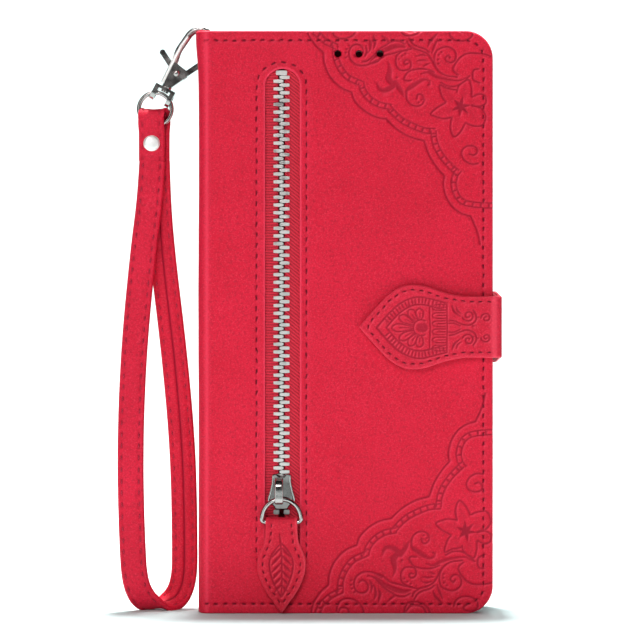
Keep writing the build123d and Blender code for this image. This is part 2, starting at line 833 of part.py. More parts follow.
tab_lining_front = side_front + clasp_outer
with BuildPart() as clasp_tab_lining:
    lining_root = free_edge + clasp_side_clear - clasp_slit
    extrude(tab_outline(tab_lining_front + clasp_inner, clasp_lining_inset, lining_root), amount=clasp_inner)
    with BuildSketch(facing(tab_lining_front + magnet_size[2] + magnet_gap)):
        with Locations((keeper_x, clasp_centre_height)):
            RectangleRounded(
                magnet_size[0] + 2 * magnet_gap,
                magnet_size[1] + 2 * magnet_gap,
                magnet_corner + magnet_gap,
            )
    extrude(amount=magnet_size[2] + magnet_gap, mode=Mode.SUBTRACT)
keep(clasp_tab_lining, "clasp_tab_lining")

with BuildPart() as clasp_magnet:
    with BuildSketch(facing(tab_lining_front + magnet_size[2])):
        with Locations((keeper_x, clasp_centre_height)):
            RectangleRounded(magnet_size[0], magnet_size[1], magnet_corner)
    extrude(amount=magnet_size[2])
keep(clasp_magnet, "clasp_magnet")


# Clip: a bent wire with a plate that carries the gate, on a swivel post
edge = Vector(spine_x, middle, case_height)
along = Vector(math.sin(math.radians(clip_lean)), 0, math.cos(math.radians(clip_lean)))
across = Vector(along.Z, 0, -along.X)
neck_point = edge + Vector(neck[0], 0, neck[1])
hook_top = wire / 2 + hook_clear
hook_inner_x = leather + lining + hook_inside + wire / 2
wire_points = [
    neck,
    hook_bend,
    (hook_shoulder, hook_top),
    (hook_inner_x, hook_top),
    (hook_inner_x, -hook_nose),
]
leg_hole = math.sqrt(strap_ring_radius**2 - eye_leg_place**2)
head_bottom = strap_ring_radius + strap_ring_wire / 2 + eye_play
plate_bottom = head_bottom + post_head + eye_play / 2
collar_bottom = plate_bottom + eye_top + eye_play
ring_centre = neck_point - along * (collar_bottom + collar_thickness / 2)


def clip_plane(distance):
    """Plane across the clip's axis, this far from the strap ring's centre."""
    return Plane(origin=ring_centre + along * distance, x_dir=(0, 1, 0), z_dir=along)


def from_edge(point, y=0.0):
    """A point given by its x and z from the spine's top outer edge."""
    return edge + Vector(point[0], y, point[1])


def lever(start, end, width):
    """A bar's outline between two points, in the sketch plane seen from the front."""
    run = Vector(end[0] - start[0], end[1] - start[1])
    side = Vector(-run.Y, run.X).normalized() * (width / 2)
    return [
        (start[0] + side.X, start[1] + side.Y),
        (end[0] + side.X, end[1] + side.Y),
        (end[0] - side.X, end[1] - side.Y),
        (start[0] - side.X, start[1] - side.Y),
    ]


clip_face = Plane(origin=edge, x_dir=(1, 0, 0), z_dir=(0, -1, 0))
tip_x = leather + lining + hook_inside - gate_tip_clear - gate_arm / 2 * math.sin(math.radians(gate_rise))
tip_z = gate_knee[1] + (tip_x - gate_knee[0]) * math.tan(math.radians(gate_rise))
slot_half = gate_thickness / 2 + gate_play

with BuildPart() as hook:
    with BuildLine(clip_face):
        FilletPolyline(*wire_points, radius=hook_bend_radii)
    with BuildSketch(Plane(origin=neck_point, z_dir=from_edge(hook_bend) - neck_point)):
        Circle(wire / 2)
    sweep()
    with Locations(from_edge((hook_inner_x, -hook_nose))):
        Sphere(wire / 2)
    with BuildSketch(clip_face) as plate:
        Polygon(*plate_points, align=None)
        fillet(plate.vertices(), plate_corner)
    extrude(amount=clip_thickness / 2, both=True)
    with BuildSketch(clip_face):
        Polygon(*gate_slot_points, align=None)
    extrude(amount=slot_half, both=True, mode=Mode.SUBTRACT)
    with BuildSketch(clip_face):
        with Locations(gate_pivot):
            Circle(gate_pin_radius)
    extrude(amount=clip_thickness, both=True, mode=Mode.SUBTRACT)
    with BuildSketch(clip_plane(collar_bottom)):
        Circle(collar_radius)
    extrude(amount=collar_thickness)
    with BuildSketch(clip_plane(collar_bottom)):
        Circle(collar_neck[0])
    extrude(amount=collar_neck[1])
    with BuildSketch(clip_plane(head_bottom)):
        Circle(post_radius)
    extrude(amount=collar_bottom + collar_thickness - head_bottom)
    with BuildSketch(clip_plane(head_bottom)):
        Circle(post_head_radius)
    extrude(amount=post_head)
keep(hook, "hook")

with BuildPart() as gate_pin:
    with BuildSketch(clip_face):
        with Locations(gate_pivot):
            Circle(gate_pin_radius)
    extrude(amount=clip_thickness / 2 + pin_head, both=True)
keep(gate_pin, "gate_pin")

with BuildPart() as hook_gate:
    with BuildSketch(clip_face):
        Polygon(*lever(gate_pivot, gate_knee, gate_arm), align=None)
        Polygon(*lever(gate_knee, (tip_x, tip_z), gate_arm), align=None)
        Polygon(*lever(gate_pivot, thumb_end, gate_arm), align=None)
        with Locations(gate_pivot):
            Circle(gate_arm)
        with Locations(gate_knee):
            Circle(gate_arm / 2)
        with Locations(gate_pivot):
            Circle(gate_pin_radius + gate_pin_play, mode=Mode.SUBTRACT)
    extrude(amount=gate_thickness / 2, both=True)
    with BuildSketch(clip_face):
        with Locations(thumb_end):
            Circle(thumb_radius)
    extrude(amount=clip_thickness / 2, both=True)
keep(hook_gate, "hook_gate")

# Swivel eye: a bracket that turns on the post and holds the strap's ring
with BuildPart() as swivel_eye:
    half = eye_leg_place + eye_leg / 2
    with BuildSketch(clip_plane(plate_bottom)):
        Rectangle(2 * eye_leg_radius, 2 * half)
        Circle(post_radius + eye_play, mode=Mode.SUBTRACT)
    extrude(amount=eye_top)
    for side in (-1, 1):
        inside = ring_centre + across * side * (eye_leg_place - eye_leg / 2)
        leg_face = Plane(origin=inside, x_dir=(0, 1, 0), z_dir=across * side)
        up = leg_hole if leg_face.y_dir.dot(along) > 0 else -leg_hole
        reach = (plate_bottom + eye_top) * (1 if up > 0 else -1)
        with BuildSketch(leg_face):
            with Locations((0, up)):
                Circle(eye_leg_radius)
            with Locations((0, (up + reach) / 2)):
                Rectangle(2 * eye_leg_radius, abs(reach - up))
            with Locations((0, up)):
                Circle(eye_hole_radius, mode=Mode.SUBTRACT)
        extrude(amount=eye_leg)
keep(swivel_eye, "swivel_eye")

with BuildPart() as strap_ring:
    with Locations(Plane(origin=ring_centre, z_dir=(0, 1, 0))):
        Torus(strap_ring_radius, strap_ring_wire / 2)
keep(strap_ring, "strap_ring")

# Wrist strap: its end is folded round the ring and riveted, the rest hangs as a loop
strap_end_z = ring_centre.Z - strap_end_drop
strap_rivet_z = ring_centre.Z - strap_rivet_drop
wire_low = ring_centre.Z - strap_ring_radius
at_edge = ring_centre.Z - math.sqrt(strap_ring_radius**2 - (strap_width / 2) ** 2)
steep = math.sqrt(strap_ring_radius**2 - (strap_width / 2) ** 2) / strap_ring_radius
bore_top = at_edge + strap_ring_wire / 2 / steep + strap_bore
bore_half = strap_ring_wire / 2 + strap_bore
fold_half = strap_slit / 2 + strap_thickness
fold_top = bore_top + fold_half - bore_half
with BuildPart() as strap_fold:
    with BuildSketch(Plane.YZ.offset(ring_centre.X)) as side_view:
        with Locations((middle, (strap_end_z + fold_top) / 2)):
            Rectangle(2 * fold_half, fold_top - strap_end_z)
        top_corners = side_view.vertices().group_by(Axis.Y)[-1]
        fillet(top_corners, fold_half * 0.98)
        bore_bottom = wire_low - strap_ring_wire / 2 - strap_bore
        with Locations((middle, (bore_bottom + bore_top) / 2)):
            SlotOverall(bore_top - bore_bottom, 2 * bore_half, rotation=90, mode=Mode.SUBTRACT)
        with Locations((middle, (strap_end_z + bore_bottom) / 2)):
            Rectangle(strap_slit, bore_bottom - strap_end_z + bore_half, mode=Mode.SUBTRACT)
    extrude(amount=strap_width / 2, both=True)
    with BuildSketch(facing(middle)):
        with Locations((ring_centre.X, strap_rivet_z)):
            Circle(strap_rivet_shank)
    extrude(amount=2 * fold_half, both=True, mode=Mode.SUBTRACT)
keep(strap_fold, "strap_fold")

with BuildPart() as strap_rivet:
    with BuildSketch(facing(middle)):
        with Locations((ring_centre.X, strap_rivet_z)):
            Circle(strap_rivet_shank)
    extrude(amount=fold_half, both=True)
    for side in (-1, 1):
        head_face = Plane(
            origin=(ring_centre.X, middle + side * fold_half, strap_rivet_z),
            z_dir=(0, side, 0),
        )
        with BuildSketch(head_face):
            Circle(strap_rivet_radius)
        extrude(amount=strap_rivet_dome)
    fillet(strap_rivet.faces().sort_by(Axis.Y)[0].edges(), strap_rivet_dome * 0.9)
    fillet(strap_rivet.faces().sort_by(Axis.Y)[-1].edges(), strap_rivet_dome * 0.9)
keep(strap_rivet, "strap_rivet")


def corner_radii(points):
    """Each corner's radius: 0.45 of its shorter run over the tangent of half the turn."""
    radii = []
    for before, here, after in zip(points, points[1:], points[2:]):
        turn = math.radians((here - before).get_angle(after - here))
        run = min((here - before).length, (after - here).length)
        radii.append(0.45 * run / math.tan(turn / 2))
    return radii


route = [Vector(ring_centre.X + x, middle + y, ring_centre.Z + z) for x, y, z in strap_route]
strap_radii = corner_radii(route)
with BuildLine() as strap_line:
    FilletPolyline(*route, radius=strap_radii)
strap_path = strap_line.wires()[0]


def strap_section(fraction):
    """Plane across the strap, its width kept as near to X as the route allows."""
    heading = strap_path.tangent_at(fraction)
    width = (Vector(1, 0, 0) - heading * heading.X).normalized()
    return Plane(origin=strap_path.position_at(fraction), x_dir=width, z_dir=heading)


def strap_stations():
    """Fractions of the route for its sections: close together where it turns."""
    steps = 500
    chosen = [0.0]
    for step in range(1, steps):
        fraction = step / steps
        turned = strap_path.tangent_at(chosen[-1]).get_angle(strap_path.tangent_at(fraction))
        gone = (fraction - chosen[-1]) * strap_path.length
        if (turned > 8 and gone > 0.8) or gone > 12:
            chosen.append(fraction)
    return chosen + [1.0]


with BuildPart() as wrist_strap:
    for fraction in strap_stations():
        with BuildSketch(strap_section(fraction)):
            Rectangle(strap_width, strap_thickness)
    loft(ruled=True)
keep(wrist_strap, "wrist_strap")

strap_volume = strap_width * strap_thickness * strap_path.length
print("strap length", round(strap_path.length, 1))
print("strap corner radii", [round(radius, 1) for radius in strap_radii])
print("strap volume against section times length", round(wrist_strap.part.volume / strap_volume, 4))
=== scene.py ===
"""Looks of a red embossed phone wallet case with a zip pocket, a clasp strap and a wrist strap."""

import math

import bmesh
import bpy
import numpy as np
from mathutils import Matrix, Vector
from mathutils.kdtree import KDTree


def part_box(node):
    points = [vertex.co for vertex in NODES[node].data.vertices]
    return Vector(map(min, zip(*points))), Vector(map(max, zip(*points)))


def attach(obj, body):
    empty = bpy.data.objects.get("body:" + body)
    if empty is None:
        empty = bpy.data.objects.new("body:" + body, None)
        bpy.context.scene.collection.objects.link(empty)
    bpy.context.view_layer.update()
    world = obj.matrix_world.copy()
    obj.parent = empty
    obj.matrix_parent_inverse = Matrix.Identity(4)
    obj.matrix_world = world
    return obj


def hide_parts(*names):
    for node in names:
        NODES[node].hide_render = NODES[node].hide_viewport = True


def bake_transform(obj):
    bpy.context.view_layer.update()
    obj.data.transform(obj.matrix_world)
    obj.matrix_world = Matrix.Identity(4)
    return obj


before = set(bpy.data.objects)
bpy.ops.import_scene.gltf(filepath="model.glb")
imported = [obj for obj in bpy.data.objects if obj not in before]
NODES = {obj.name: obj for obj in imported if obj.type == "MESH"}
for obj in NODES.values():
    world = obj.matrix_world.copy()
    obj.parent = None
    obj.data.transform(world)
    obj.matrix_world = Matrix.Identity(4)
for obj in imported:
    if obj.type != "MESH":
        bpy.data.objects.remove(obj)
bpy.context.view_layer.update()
MM = 0.001


def box_mm(node):
    """The low and high corners of a CAD node, in mm."""
    low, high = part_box(node)
    return [value / MM for value in low], [value / MM for value in high]


# Camera, level with the middle of the case and square to its front
FRAME_WIDTH = 0.1844  # what the view takes in at the front cover
CAMERA_AWAY = 0.7  # how far in front of the origin it stands
camera_data = bpy.data.cameras.new("camera")
camera = bpy.data.objects.new("camera", camera_data)
bpy.context.scene.collection.objects.link(camera)
camera.location = (-0.0086, -CAMERA_AWAY, 0.0846)
camera.rotation_euler = (math.radians(90), 0, 0)
camera_data.sensor_width = 36
camera_data.lens = camera_data.sensor_width * (CAMERA_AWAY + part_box("front_leather")[0].y) / FRAME_WIDTH
camera_data.clip_start, camera_data.clip_end = 0.01, 10
bpy.context.scene.camera = camera
bpy.context.scene.view_settings.view_transform = "Standard"

# Sizes, in mm
cover_low, cover_high = box_mm("front_leather")
front_face, back_face = cover_low[1], box_mm("back_leather")[1][1]
middle = (front_face + back_face) / 2
free_edge, case_height = cover_high[0], cover_high[2]
CORNER = 8.0  # radius of the covers' corners on the open side
spine_x = box_mm("spine_leather")[0][0]
fold_radius = 3.2
fold_x = spine_x + fold_radius
fold_length = fold_radius * math.pi / 2
spine_end = fold_x - fold_length - (middle - front_face - fold_radius)
zip_x = (box_mm("zip_tape_left")[0][0] + box_mm("zip_tape_right")[1][0]) / 2
ZIP_WINDOW = (zip_x + 0.3, 11.5, 157.0, 4.95)  # middle, bottom, top, half width
CLIP_SLOT = (160 - 3.7, 160 + 3.7, 2.2)  # in the spine, for the clip: bottom, top, half width
CAMERA_X, CAMERA_Z = 15.85, 140.75  # middle of the phone camera's window
CAMERA_WINDOW = ((CAMERA_X - 17, CAMERA_Z - 18), (CAMERA_X + 17, CAMERA_Z + 18))
SPEAKER_X, SPEAKER_PITCH, SPEAKER_RADIUS = 2.65, 6.1, 1.0
speaker_z = box_mm("front_board")[1][2] + 3.1 - 6.6  # down from the cover's top, past the board's inset
SPEAKER_HOLES = [(SPEAKER_X + k * SPEAKER_PITCH, speaker_z, SPEAKER_RADIUS) for k in (-1, 0, 1)]
clasp_low, clasp_high = box_mm("clasp_side_leather")
tab_tip = box_mm("clasp_tab_leather")[0][0]
side_front, side_back = box_mm("clasp_tab_leather")[0][1], clasp_high[1]
clasp_z = (clasp_low[2] + clasp_high[2]) / 2
clasp_round = 1.8
clasp_fold_x = clasp_high[0] - clasp_round
clasp_middle = (side_front + side_back) / 2
clasp_end = clasp_fold_x + clasp_round * math.pi / 2 + clasp_middle - side_front - clasp_round


# Materials
WAVE_PITCH = 0.314  # a wave texture of this scale has its bands one unit apart
GRAIN_RED = (0.36, 0.004, 0.018, 1)
# Pressed leather's darker red, also used for painted shade
PRESSED_AND_SHADE_RED = (0.27, 0.002, 0.018, 1)


def toned(colour, times, more=0.0):
    """The colour made darker or paler."""
    return [min(1, c * times + more) for c in colour[:3]] + [1]


def new_finish(name):
    material = bpy.data.materials.new(name)
    material.use_nodes = True
    tree = material.node_tree
    return material, tree, tree.nodes["Principled BSDF"]


def add(tree, kind, inputs=(), **settings):
    node = tree.nodes.new("ShaderNode" + kind)
    for key, value in settings.items():
        setattr(node, key, value)
    for key, value in dict(inputs).items():
        if isinstance(value, bpy.types.NodeSocket):
            tree.links.new(value, node.inputs[key])
        else:
            node.inputs[key].default_value = value
    return node


def place_in(tree, scale=(1, 1, 1), turn=(0, 0, 0), uv=False):
    source = add(tree, "TexCoord").outputs["UV" if uv else "Object"]
    mapping = add(tree, "Mapping", {"Vector": source, "Scale": scale, "Rotation": turn})
    return mapping.outputs["Vector"]


def noise(tree, where, scale, detail=3.0, rough=0.55):
    values = {"Vector": where, "Scale": scale, "Detail": detail, "Roughness": rough}
    return add(tree, "TexNoise", values).outputs["Fac"]


def span(tree, value, low, high, to_low=0.0, to_high=1.0):
    values = {"Value": value, "From Min": low, "From Max": high, "To Min": to_low, "To Max": to_high}
    return add(tree, "MapRange", values).outputs["Result"]


def mixed(tree, fac, first, second, blend="MIX"):
    node = add(tree, "Mix", data_type="RGBA", blend_type=blend)
    for place, value in ((0, fac), (6, first), (7, second)):
        if isinstance(value, bpy.types.NodeSocket):
            tree.links.new(value, node.inputs[place])
        else:
            node.inputs[place].default_value = value
    return node.outputs[2]


def bumps(tree, shader, heights):
    """Chains bumps, each (height, distance in mm, strength)."""
    normal = None
    for height, distance, strength in heights:
        values = {"Height": height, "Distance": distance * MM, "Strength": strength}
        if normal is not None:
            values["Normal"] = normal
        normal = add(tree, "Bump", values).outputs["Normal"]
    tree.links.new(normal, shader.inputs["Normal"])


def suede_finish(name, colour, dark, pale, rough=0.6):
    """Matt soft-touch leather: fine mottle, pale speckle, darker where it is pressed, with painted shade in
    stitch holes and bends and painted highlights on edges and groove walls.
    """
    material, tree, shader = new_finish(name)
    where = place_in(tree)
    cloud = noise(tree, where, 60, 3, 0.6)
    grain = noise(tree, where, 1500, 3, 0.6)
    speck = noise(tree, where, 2600, 2, 0.6)
    body = mixed(tree, span(tree, cloud, 0.35, 0.68), dark, colour)
    body = mixed(tree, span(tree, speck, 0.50, 0.78, 0, 0.5), body, pale)
    body = mixed(tree, span(tree, grain, 0.52, 0.25, 0, 0.7), body, GRAIN_RED)
    # The pressed tint: leather darker where pressed, plus painted shade in stitch holes, at the petals' bases
    # and along the spine's bend
    mark = add(tree, "Attribute", attribute_name="pressed").outputs["Fac"]
    body = mixed(tree, mark, body, PRESSED_AND_SHADE_RED)
    # Painted highlight: paler on cut edges, at folds and on the lit walls of grooves
    painted_highlight = add(tree, "Attribute", attribute_name="painted_highlight").outputs["Fac"]
    body = mixed(tree, painted_highlight, body, pale)
    tree.links.new(body, shader.inputs["Base Color"])
    tree.links.new(span(tree, grain, 0.2, 0.8, rough - 0.1, rough + 0.12), shader.inputs["Roughness"])
    shader.inputs["Specular IOR Level"].default_value = 0.2
    bumps(tree, shader, [(grain, 0.10, 0.5), (cloud, 0.5, 0.12)])
    return material


def metal_finish(name, colour, rough, scratch=0.25, dent=0.05):
    """Plated metal: smears in its tone and gloss, fine scratches and shallow dents."""
    material, tree, shader = new_finish(name)
    where = place_in(tree)
    smear = noise(tree, where, 420, 3)
    fine = noise(tree, place_in(tree, (1, 1, 0.12)), 5200, 2)
    body = mixed(tree, span(tree, smear, 0.35, 0.7), colour, toned(colour, 0.86))
    tree.links.new(body, shader.inputs["Base Color"])
    tree.links.new(span(tree, smear, 0.3, 0.75, rough * 0.7, rough * 1.5), shader.inputs["Roughness"])
    shader.inputs["Metallic"].default_value = 1
    bumps(tree, shader, [(fine, 0.01, scratch), (smear, dent, 0.3)])
    return material


def cloth_finish(name, colour, dark, pitch, turn=0.0, uv=True):
    """Woven cloth: ribs one way, threads across them, both at the given pitch in mm."""
    material, tree, shader = new_finish(name)
    where = place_in(tree, (1 / MM, 1 / MM, 1 / MM), (0, 0, turn), uv)
    bands = {"Vector": where, "Detail": 1.0, "Detail Scale": 2.0}
    ribs = add(tree, "TexWave", {**bands, "Scale": WAVE_PITCH / pitch, "Distortion": 0.6},
               bands_direction="Y").outputs["Fac"]
    across = add(tree, "TexWave", {**bands, "Scale": WAVE_PITCH / pitch * 1.6, "Distortion": 0.8},
                 bands_direction="X").outputs["Fac"]
    fuzz = noise(tree, where, 3.0, 3)
    weave = add(tree, "Math", {0: ribs, 1: across}, operation="MULTIPLY").outputs[0]
    body = mixed(tree, span(tree, ribs, 0.1, 0.8), dark, colour)
    body = mixed(tree, span(tree, fuzz, 0.35, 0.75, 0, 0.5), body, toned(colour, 1.35))
    tree.links.new(body, shader.inputs["Base Color"])
    shader.inputs["Roughness"].default_value = 0.85
    shader.inputs["Specular IOR Level"].default_value = 0.2
    shader.inputs["Sheen Weight"].default_value = 0.15
    bumps(tree, shader, [(weave, 0.12, 0.5), (ribs, 0.15, 0.5), (fuzz, 0.05, 0.4)])
    return material


def thread_finish(name, colour, pale, coat=0.06):
    """Waxed thread, its plies lying aslant."""
    material, tree, shader = new_finish(name)
    where = place_in(tree, turn=(0, math.radians(35), 0))
    twist = add(tree, "TexWave", {"Vector": where, "Scale": 1100, "Distortion": 0.4}).outputs["Fac"]
    tree.links.new(mixed(tree, span(tree, twist, 0.2, 0.9), colour, pale), shader.inputs["Base Color"])
    shader.inputs["Roughness"].default_value = 0.55
    shader.inputs["Specular IOR Level"].default_value = 0.15
    shader.inputs["Coat Weight"].default_value = coat
    shader.inputs["Coat Roughness"].default_value = 0.2
    bumps(tree, shader, [(twist, 0.08, 0.6)])
    return material


def plain_finish(name, colour, rough, grain_scale, grain_depth, specular=0.4):
    """Moulded or pressed stuff: a fine grain, its tone and gloss a little uneven."""
    material, tree, shader = new_finish(name)
    where = place_in(tree)
    grain = noise(tree, where, grain_scale, 4)
    cloud = noise(tree, where, 70, 2)
    body = mixed(tree, span(tree, cloud, 0.3, 0.7), colour, toned(colour, 0.85))
    body = mixed(tree, span(tree, grain, 0.45, 0.75, 0, 0.35), body, toned(colour, 1.3, 0.01))
    tree.links.new(body, shader.inputs["Base Color"])
    tree.links.new(span(tree, grain, 0.3, 0.7, rough - 0.06, rough + 0.08), shader.inputs["Roughness"])
    shader.inputs["Specular IOR Level"].default_value = specular
    bumps(tree, shader, [(grain, grain_depth, 0.5)])
    return material


LEATHER = suede_finish(
    "red_suede", (0.66, 0.007, 0.034, 1), (0.60, 0.005, 0.027, 1), (0.88, 0.050, 0.105, 1))
CLASP_LEATHER = suede_finish(
    "clasp_suede", (0.65, 0.010, 0.038, 1), (0.59, 0.007, 0.030, 1), (0.88, 0.07, 0.12, 1))
LEAF_LEATHER = suede_finish(
    "leaf_suede", (0.64, 0.009, 0.034, 1), (0.56, 0.006, 0.027, 1), (0.86, 0.06, 0.10, 1))
STRAP_LEATHER = suede_finish(
    "strap_suede", (0.66, 0.008, 0.036, 1), (0.58, 0.005, 0.028, 1), (0.88, 0.055, 0.11, 1))
LINING = suede_finish(
    "lining_suede", (0.42, 0.016, 0.034, 1), (0.34, 0.012, 0.026, 1), (0.6, 0.05, 0.08, 1), rough=0.8)
# The cover's red thread made near black: painted shade of its sunk holes
THREAD = thread_finish("thread_darkened_as_shade", (0.085, 0.002, 0.008, 1), (0.32, 0.010, 0.032, 1))
STRAP_THREAD = thread_finish("red_thread", (0.17, 0.004, 0.014, 1), (0.66, 0.035, 0.08, 1), 0.12)
TAPE_COLOURS = (0.62, 0.022, 0.046, 1), (0.30, 0.008, 0.020, 1)
TAPE_RIBS = cloth_finish("tape_ribs", *TAPE_COLOURS, 0.8)
TAPE_TWILL = cloth_finish("tape_twill", *TAPE_COLOURS, 0.8, math.radians(38))
POCKET_CLOTH = cloth_finish("pocket_cloth", (0.30, 0.012, 0.024, 1), (0.16, 0.006, 0.012, 1), 0.35, uv=False)
NICKEL = metal_finish("polished_nickel", (0.43, 0.385, 0.375, 1), 0.15)
TOOTH_METAL = metal_finish("tooth_metal", (0.72, 0.65, 0.635, 1), 0.42, 0.5, 0.1)
SLIDER_METAL = metal_finish("slider_plate_metal", (0.18, 0.16, 0.156, 1), 0.18)
WIRE_METAL = metal_finish("clip_wire_metal", (0.36, 0.34, 0.335, 1), 0.32, 0.5)
CAST = metal_finish("cast_clip", (0.44, 0.40, 0.39, 1), 0.2, 0.5, 0.25)
RIVET_METAL = metal_finish("rivet_nickel", (0.93, 0.885, 0.87, 1), 0.5)
# A darker copy of the stop metal: painted shade for stops lying in the leaf's shadow
STOPS_DARKENED_AS_SHADE = metal_finish("stop_metal_in_painted_shade", (0.26, 0.24, 0.235, 1), 0.45, 0.5)
STEEL = metal_finish("magnet_steel", (0.55, 0.56, 0.57, 1), 0.32, 0.6)
SHELL = plain_finish("soft_black_shell", (0.012, 0.012, 0.013, 1), 0.42, 2200, 0.03)
FOAM = plain_finish("black_foam", (0.02, 0.02, 0.021, 1), 0.9, 900, 0.3, specular=0.15)
BOARD = plain_finish("dark_board", (0.03, 0.028, 0.026, 1), 0.85, 1300, 0.08, specular=0.15)


# Curves that the marks follow
def flowing(points, step=0.13):
    """A smooth line through the points, close together, with their further values carried along."""
    p = np.array(points, float)
    if len(p) == 1:
        return p
    if len(p) == 2:
        count = max(2, int(np.linalg.norm(p[1, :2] - p[0, :2]) / step) + 1)
        return p[0] + (p[1] - p[0]) * np.linspace(0, 1, count)[:, None]
    q = np.vstack([2 * p[0] - p[1], p, 2 * p[-1] - p[-2]])
    parts = []
    for k in range(1, len(q) - 2):
        a, b, c, d = q[k - 1], q[k], q[k + 1], q[k + 2]
        count = max(2, int(np.linalg.norm(c[:2] - b[:2]) / step) + 1)
        t = np.linspace(0, 1, count, endpoint=False)[:, None]
        parts.append(0.5 * (2 * b + (c - a) * t + (2 * a - 5 * b + 4 * c - d) * t**2
                            + (3 * b - a - 3 * c + d) * t**3))
    parts.append(p[-1:])
    return np.vstack(parts)


def curl(centre, radius, turns, start, inner=0.25, way=1):
    """A scroll's line, winding in from its outer end at the start angle in degrees."""
    t = np.linspace(0, 1, int(18 * turns))
    angle = math.radians(start) + way * t * turns * 2 * math.pi
    reach = radius * (1 - t * (1 - inner))
    return np.column_stack([centre[0] + reach * np.cos(angle), centre[1] + reach * np.sin(angle)])


def along_line(points, pitch, first=0.0):
    """Places at an even pitch along a line: (x, y, direction) of each."""
    p = np.array(points, float)[:, :2]
    gone = np.concatenate([[0], np.cumsum(np.linalg.norm(np.diff(p, axis=0), axis=1))])
    count = max(1, round((gone[-1] - 2 * first) / pitch))
    at = first + (np.arange(count) + 0.5) * (gone[-1] - 2 * first) / count
    x, y = np.interp(at, gone, p[:, 0]), np.interp(at, gone, p[:, 1])
    dx = np.interp(at + 0.05, gone, p[:, 0]) - np.interp(at - 0.05, gone, p[:, 0])
    dy = np.interp(at + 0.05, gone, p[:, 1]) - np.interp(at - 0.05, gone, p[:, 1])
    return list(zip(x, y, np.arctan2(dy, dx)))


def by_hand(places, seed, sway=0.12, shift=0.09):
    """Stitch places a little off their line and angle, as sewn."""
    rng = np.random.default_rng(seed)
    return [(x + rng.normal(0, shift * 0.5), z + rng.normal(0, shift * 0.5), angle + rng.normal(0, sway))
            for x, z, angle in places]


class Marks:
    """What is pressed or sewn into a sheet: lines with a half width, a depth and a soft edge."""

    softness = {"line": 0.2, "broad": 0.28, "valley": 0.65, "stitch": 0.2, "shade": 0.8}  # of the edge, mm
    # Stitch dimples are darkened as painted shade in their holes; shade marks are painted shade
    tints = {"line": 0.82, "broad": 0.62, "valley": 0.06, "stitch": 0.95, "shade": 0.22}  # how dark it is
    far_off = 99.0  # distance told where there is no mark

    def __init__(self):
        self.samples = {kind: [] for kind in self.softness}
        self.trees = {}

    def press(self, points, half=0.27, depth=0.3, kind="line", smooth=True):
        """A line through (x, z) points, or through (x, z, half width) ones."""
        p = np.array(points, float)
        if p.shape[1] == 2:
            p = np.column_stack([p, np.full(len(p), half)])
        dense = flowing(p) if smooth else np.vstack([flowing(p[k:k + 2]) for k in range(len(p) - 1)])
        self.samples[kind].append(np.column_stack([dense, np.full(len(dense), depth)]))

    def sew(self, places, length, depth=0.4, half=0.16):
        """A short dimple for each stitch."""
        for x, y, angle in places:
            way = np.array([math.cos(angle), math.sin(angle)]) * (length / 2 - 0.1)
            self.press([(x - way[0], y - way[1]), (x + way[0], y + way[1])], half, depth, "stitch")

    def seam(self, line, pitch, seed, length, valley=(0.25, 0.12), depth=0.4, half=0.16):
        """A shallow valley with a dimple for each stitch; gives back the stitches' places."""
        self.press(line, *valley, "valley", smooth=False)
        stitches = by_hand(along_line(line, pitch), seed)
        self.sew(stitches, length, depth, half)
        return stitches

    def settle(self):
        """Sorts all that was pressed, so that the nearest mark is quickly found."""
        for kind, parts in self.samples.items():
            if parts:
                rows = np.vstack(parts)
                tree = KDTree(len(rows))
                for k, row in enumerate(rows):
                    tree.insert((row[0], row[1], 0), k)
                tree.balance()
                self.trees[kind] = (tree, rows)
        return self

    def nearest(self, kind, p):
        tree, rows = self.trees[kind]
        found = [tree.find((x, y, 0)) for x, y in p]
        index = np.array([f[1] for f in found])
        return np.array([f[2] for f in found]) - rows[index, 2], rows[index, 3]

    def gap(self, p):
        """Distance to the nearest mark's edge, valleys left out."""
        gaps = [self.nearest(kind, p)[0] for kind in self.trees if kind not in ("valley", "shade")]
        return np.min(gaps, axis=0) if gaps else np.full(len(p), self.far_off)

    def depth(self, p):
        """How deep the sheet is pressed at each place, and how dark it is there."""
        sink, tint = np.zeros(len(p)), np.zeros(len(p))
        for kind in self.trees:
            gap, depth = self.nearest(kind, p)
            soft = self.softness[kind]
            share = np.clip((soft - gap) / (2 * soft), 0, 1)
            share = share * share * (3 - 2 * share)
            if kind == "valley":
                sink = sink + depth * share
            else:
                sink = np.maximum(sink, depth * share)
            tint = np.maximum(tint, share * self.tints[kind])
        return sink, tint


SHALLOW = (0.25, 0.1)  # half width and depth of a seam's valley in thin leather


# Outlines, negative inside
def bar(p, low, high, left=0.0, right=0.0):
    """A rectangle, its left and right corners rounded."""
    centre = (np.array(low) + np.array(high)) / 2
    half = (np.array(high) - np.array(low)) / 2
    radius = np.where(p[:, 0] > centre[0], right, left)
    q = np.abs(p - centre) - half + radius[:, None]
    return np.linalg.norm(np.maximum(q, 0), axis=1) + np.minimum(q.max(axis=1), 0) - radius


def slot_shape(p, x, low, high, half):
    nearest = np.clip(p[:, 1], low + half, high - half)
    return np.hypot(p[:, 0] - x, p[:, 1] - nearest) - half


def disc(p, x, z, radius):
    return np.hypot(p[:, 0] - x, p[:, 1] - z) - radius


def less(shape, *gaps):
    """The shape with the others cut out of it."""
    return np.maximum.reduce([shape, *(-gap for gap in gaps)])


def speaker_holes(p):
    return np.minimum.reduce([disc(p, *hole) for hole in SPEAKER_HOLES])


def camera_window(p):
    return bar(p, *CAMERA_WINDOW, left=6, right=6)


def cover_shape(p, hinge_side):
    """A cover, round at the corners of its open side, from this far on its other side."""
    return bar(p, (hinge_side, 0), (free_edge, case_height), right=CORNER)


def front_view(low, high):
    """The outline of a block, as seen from the front."""
    return lambda p: bar(p, (low[0], low[2]), (high[0], high[2]))


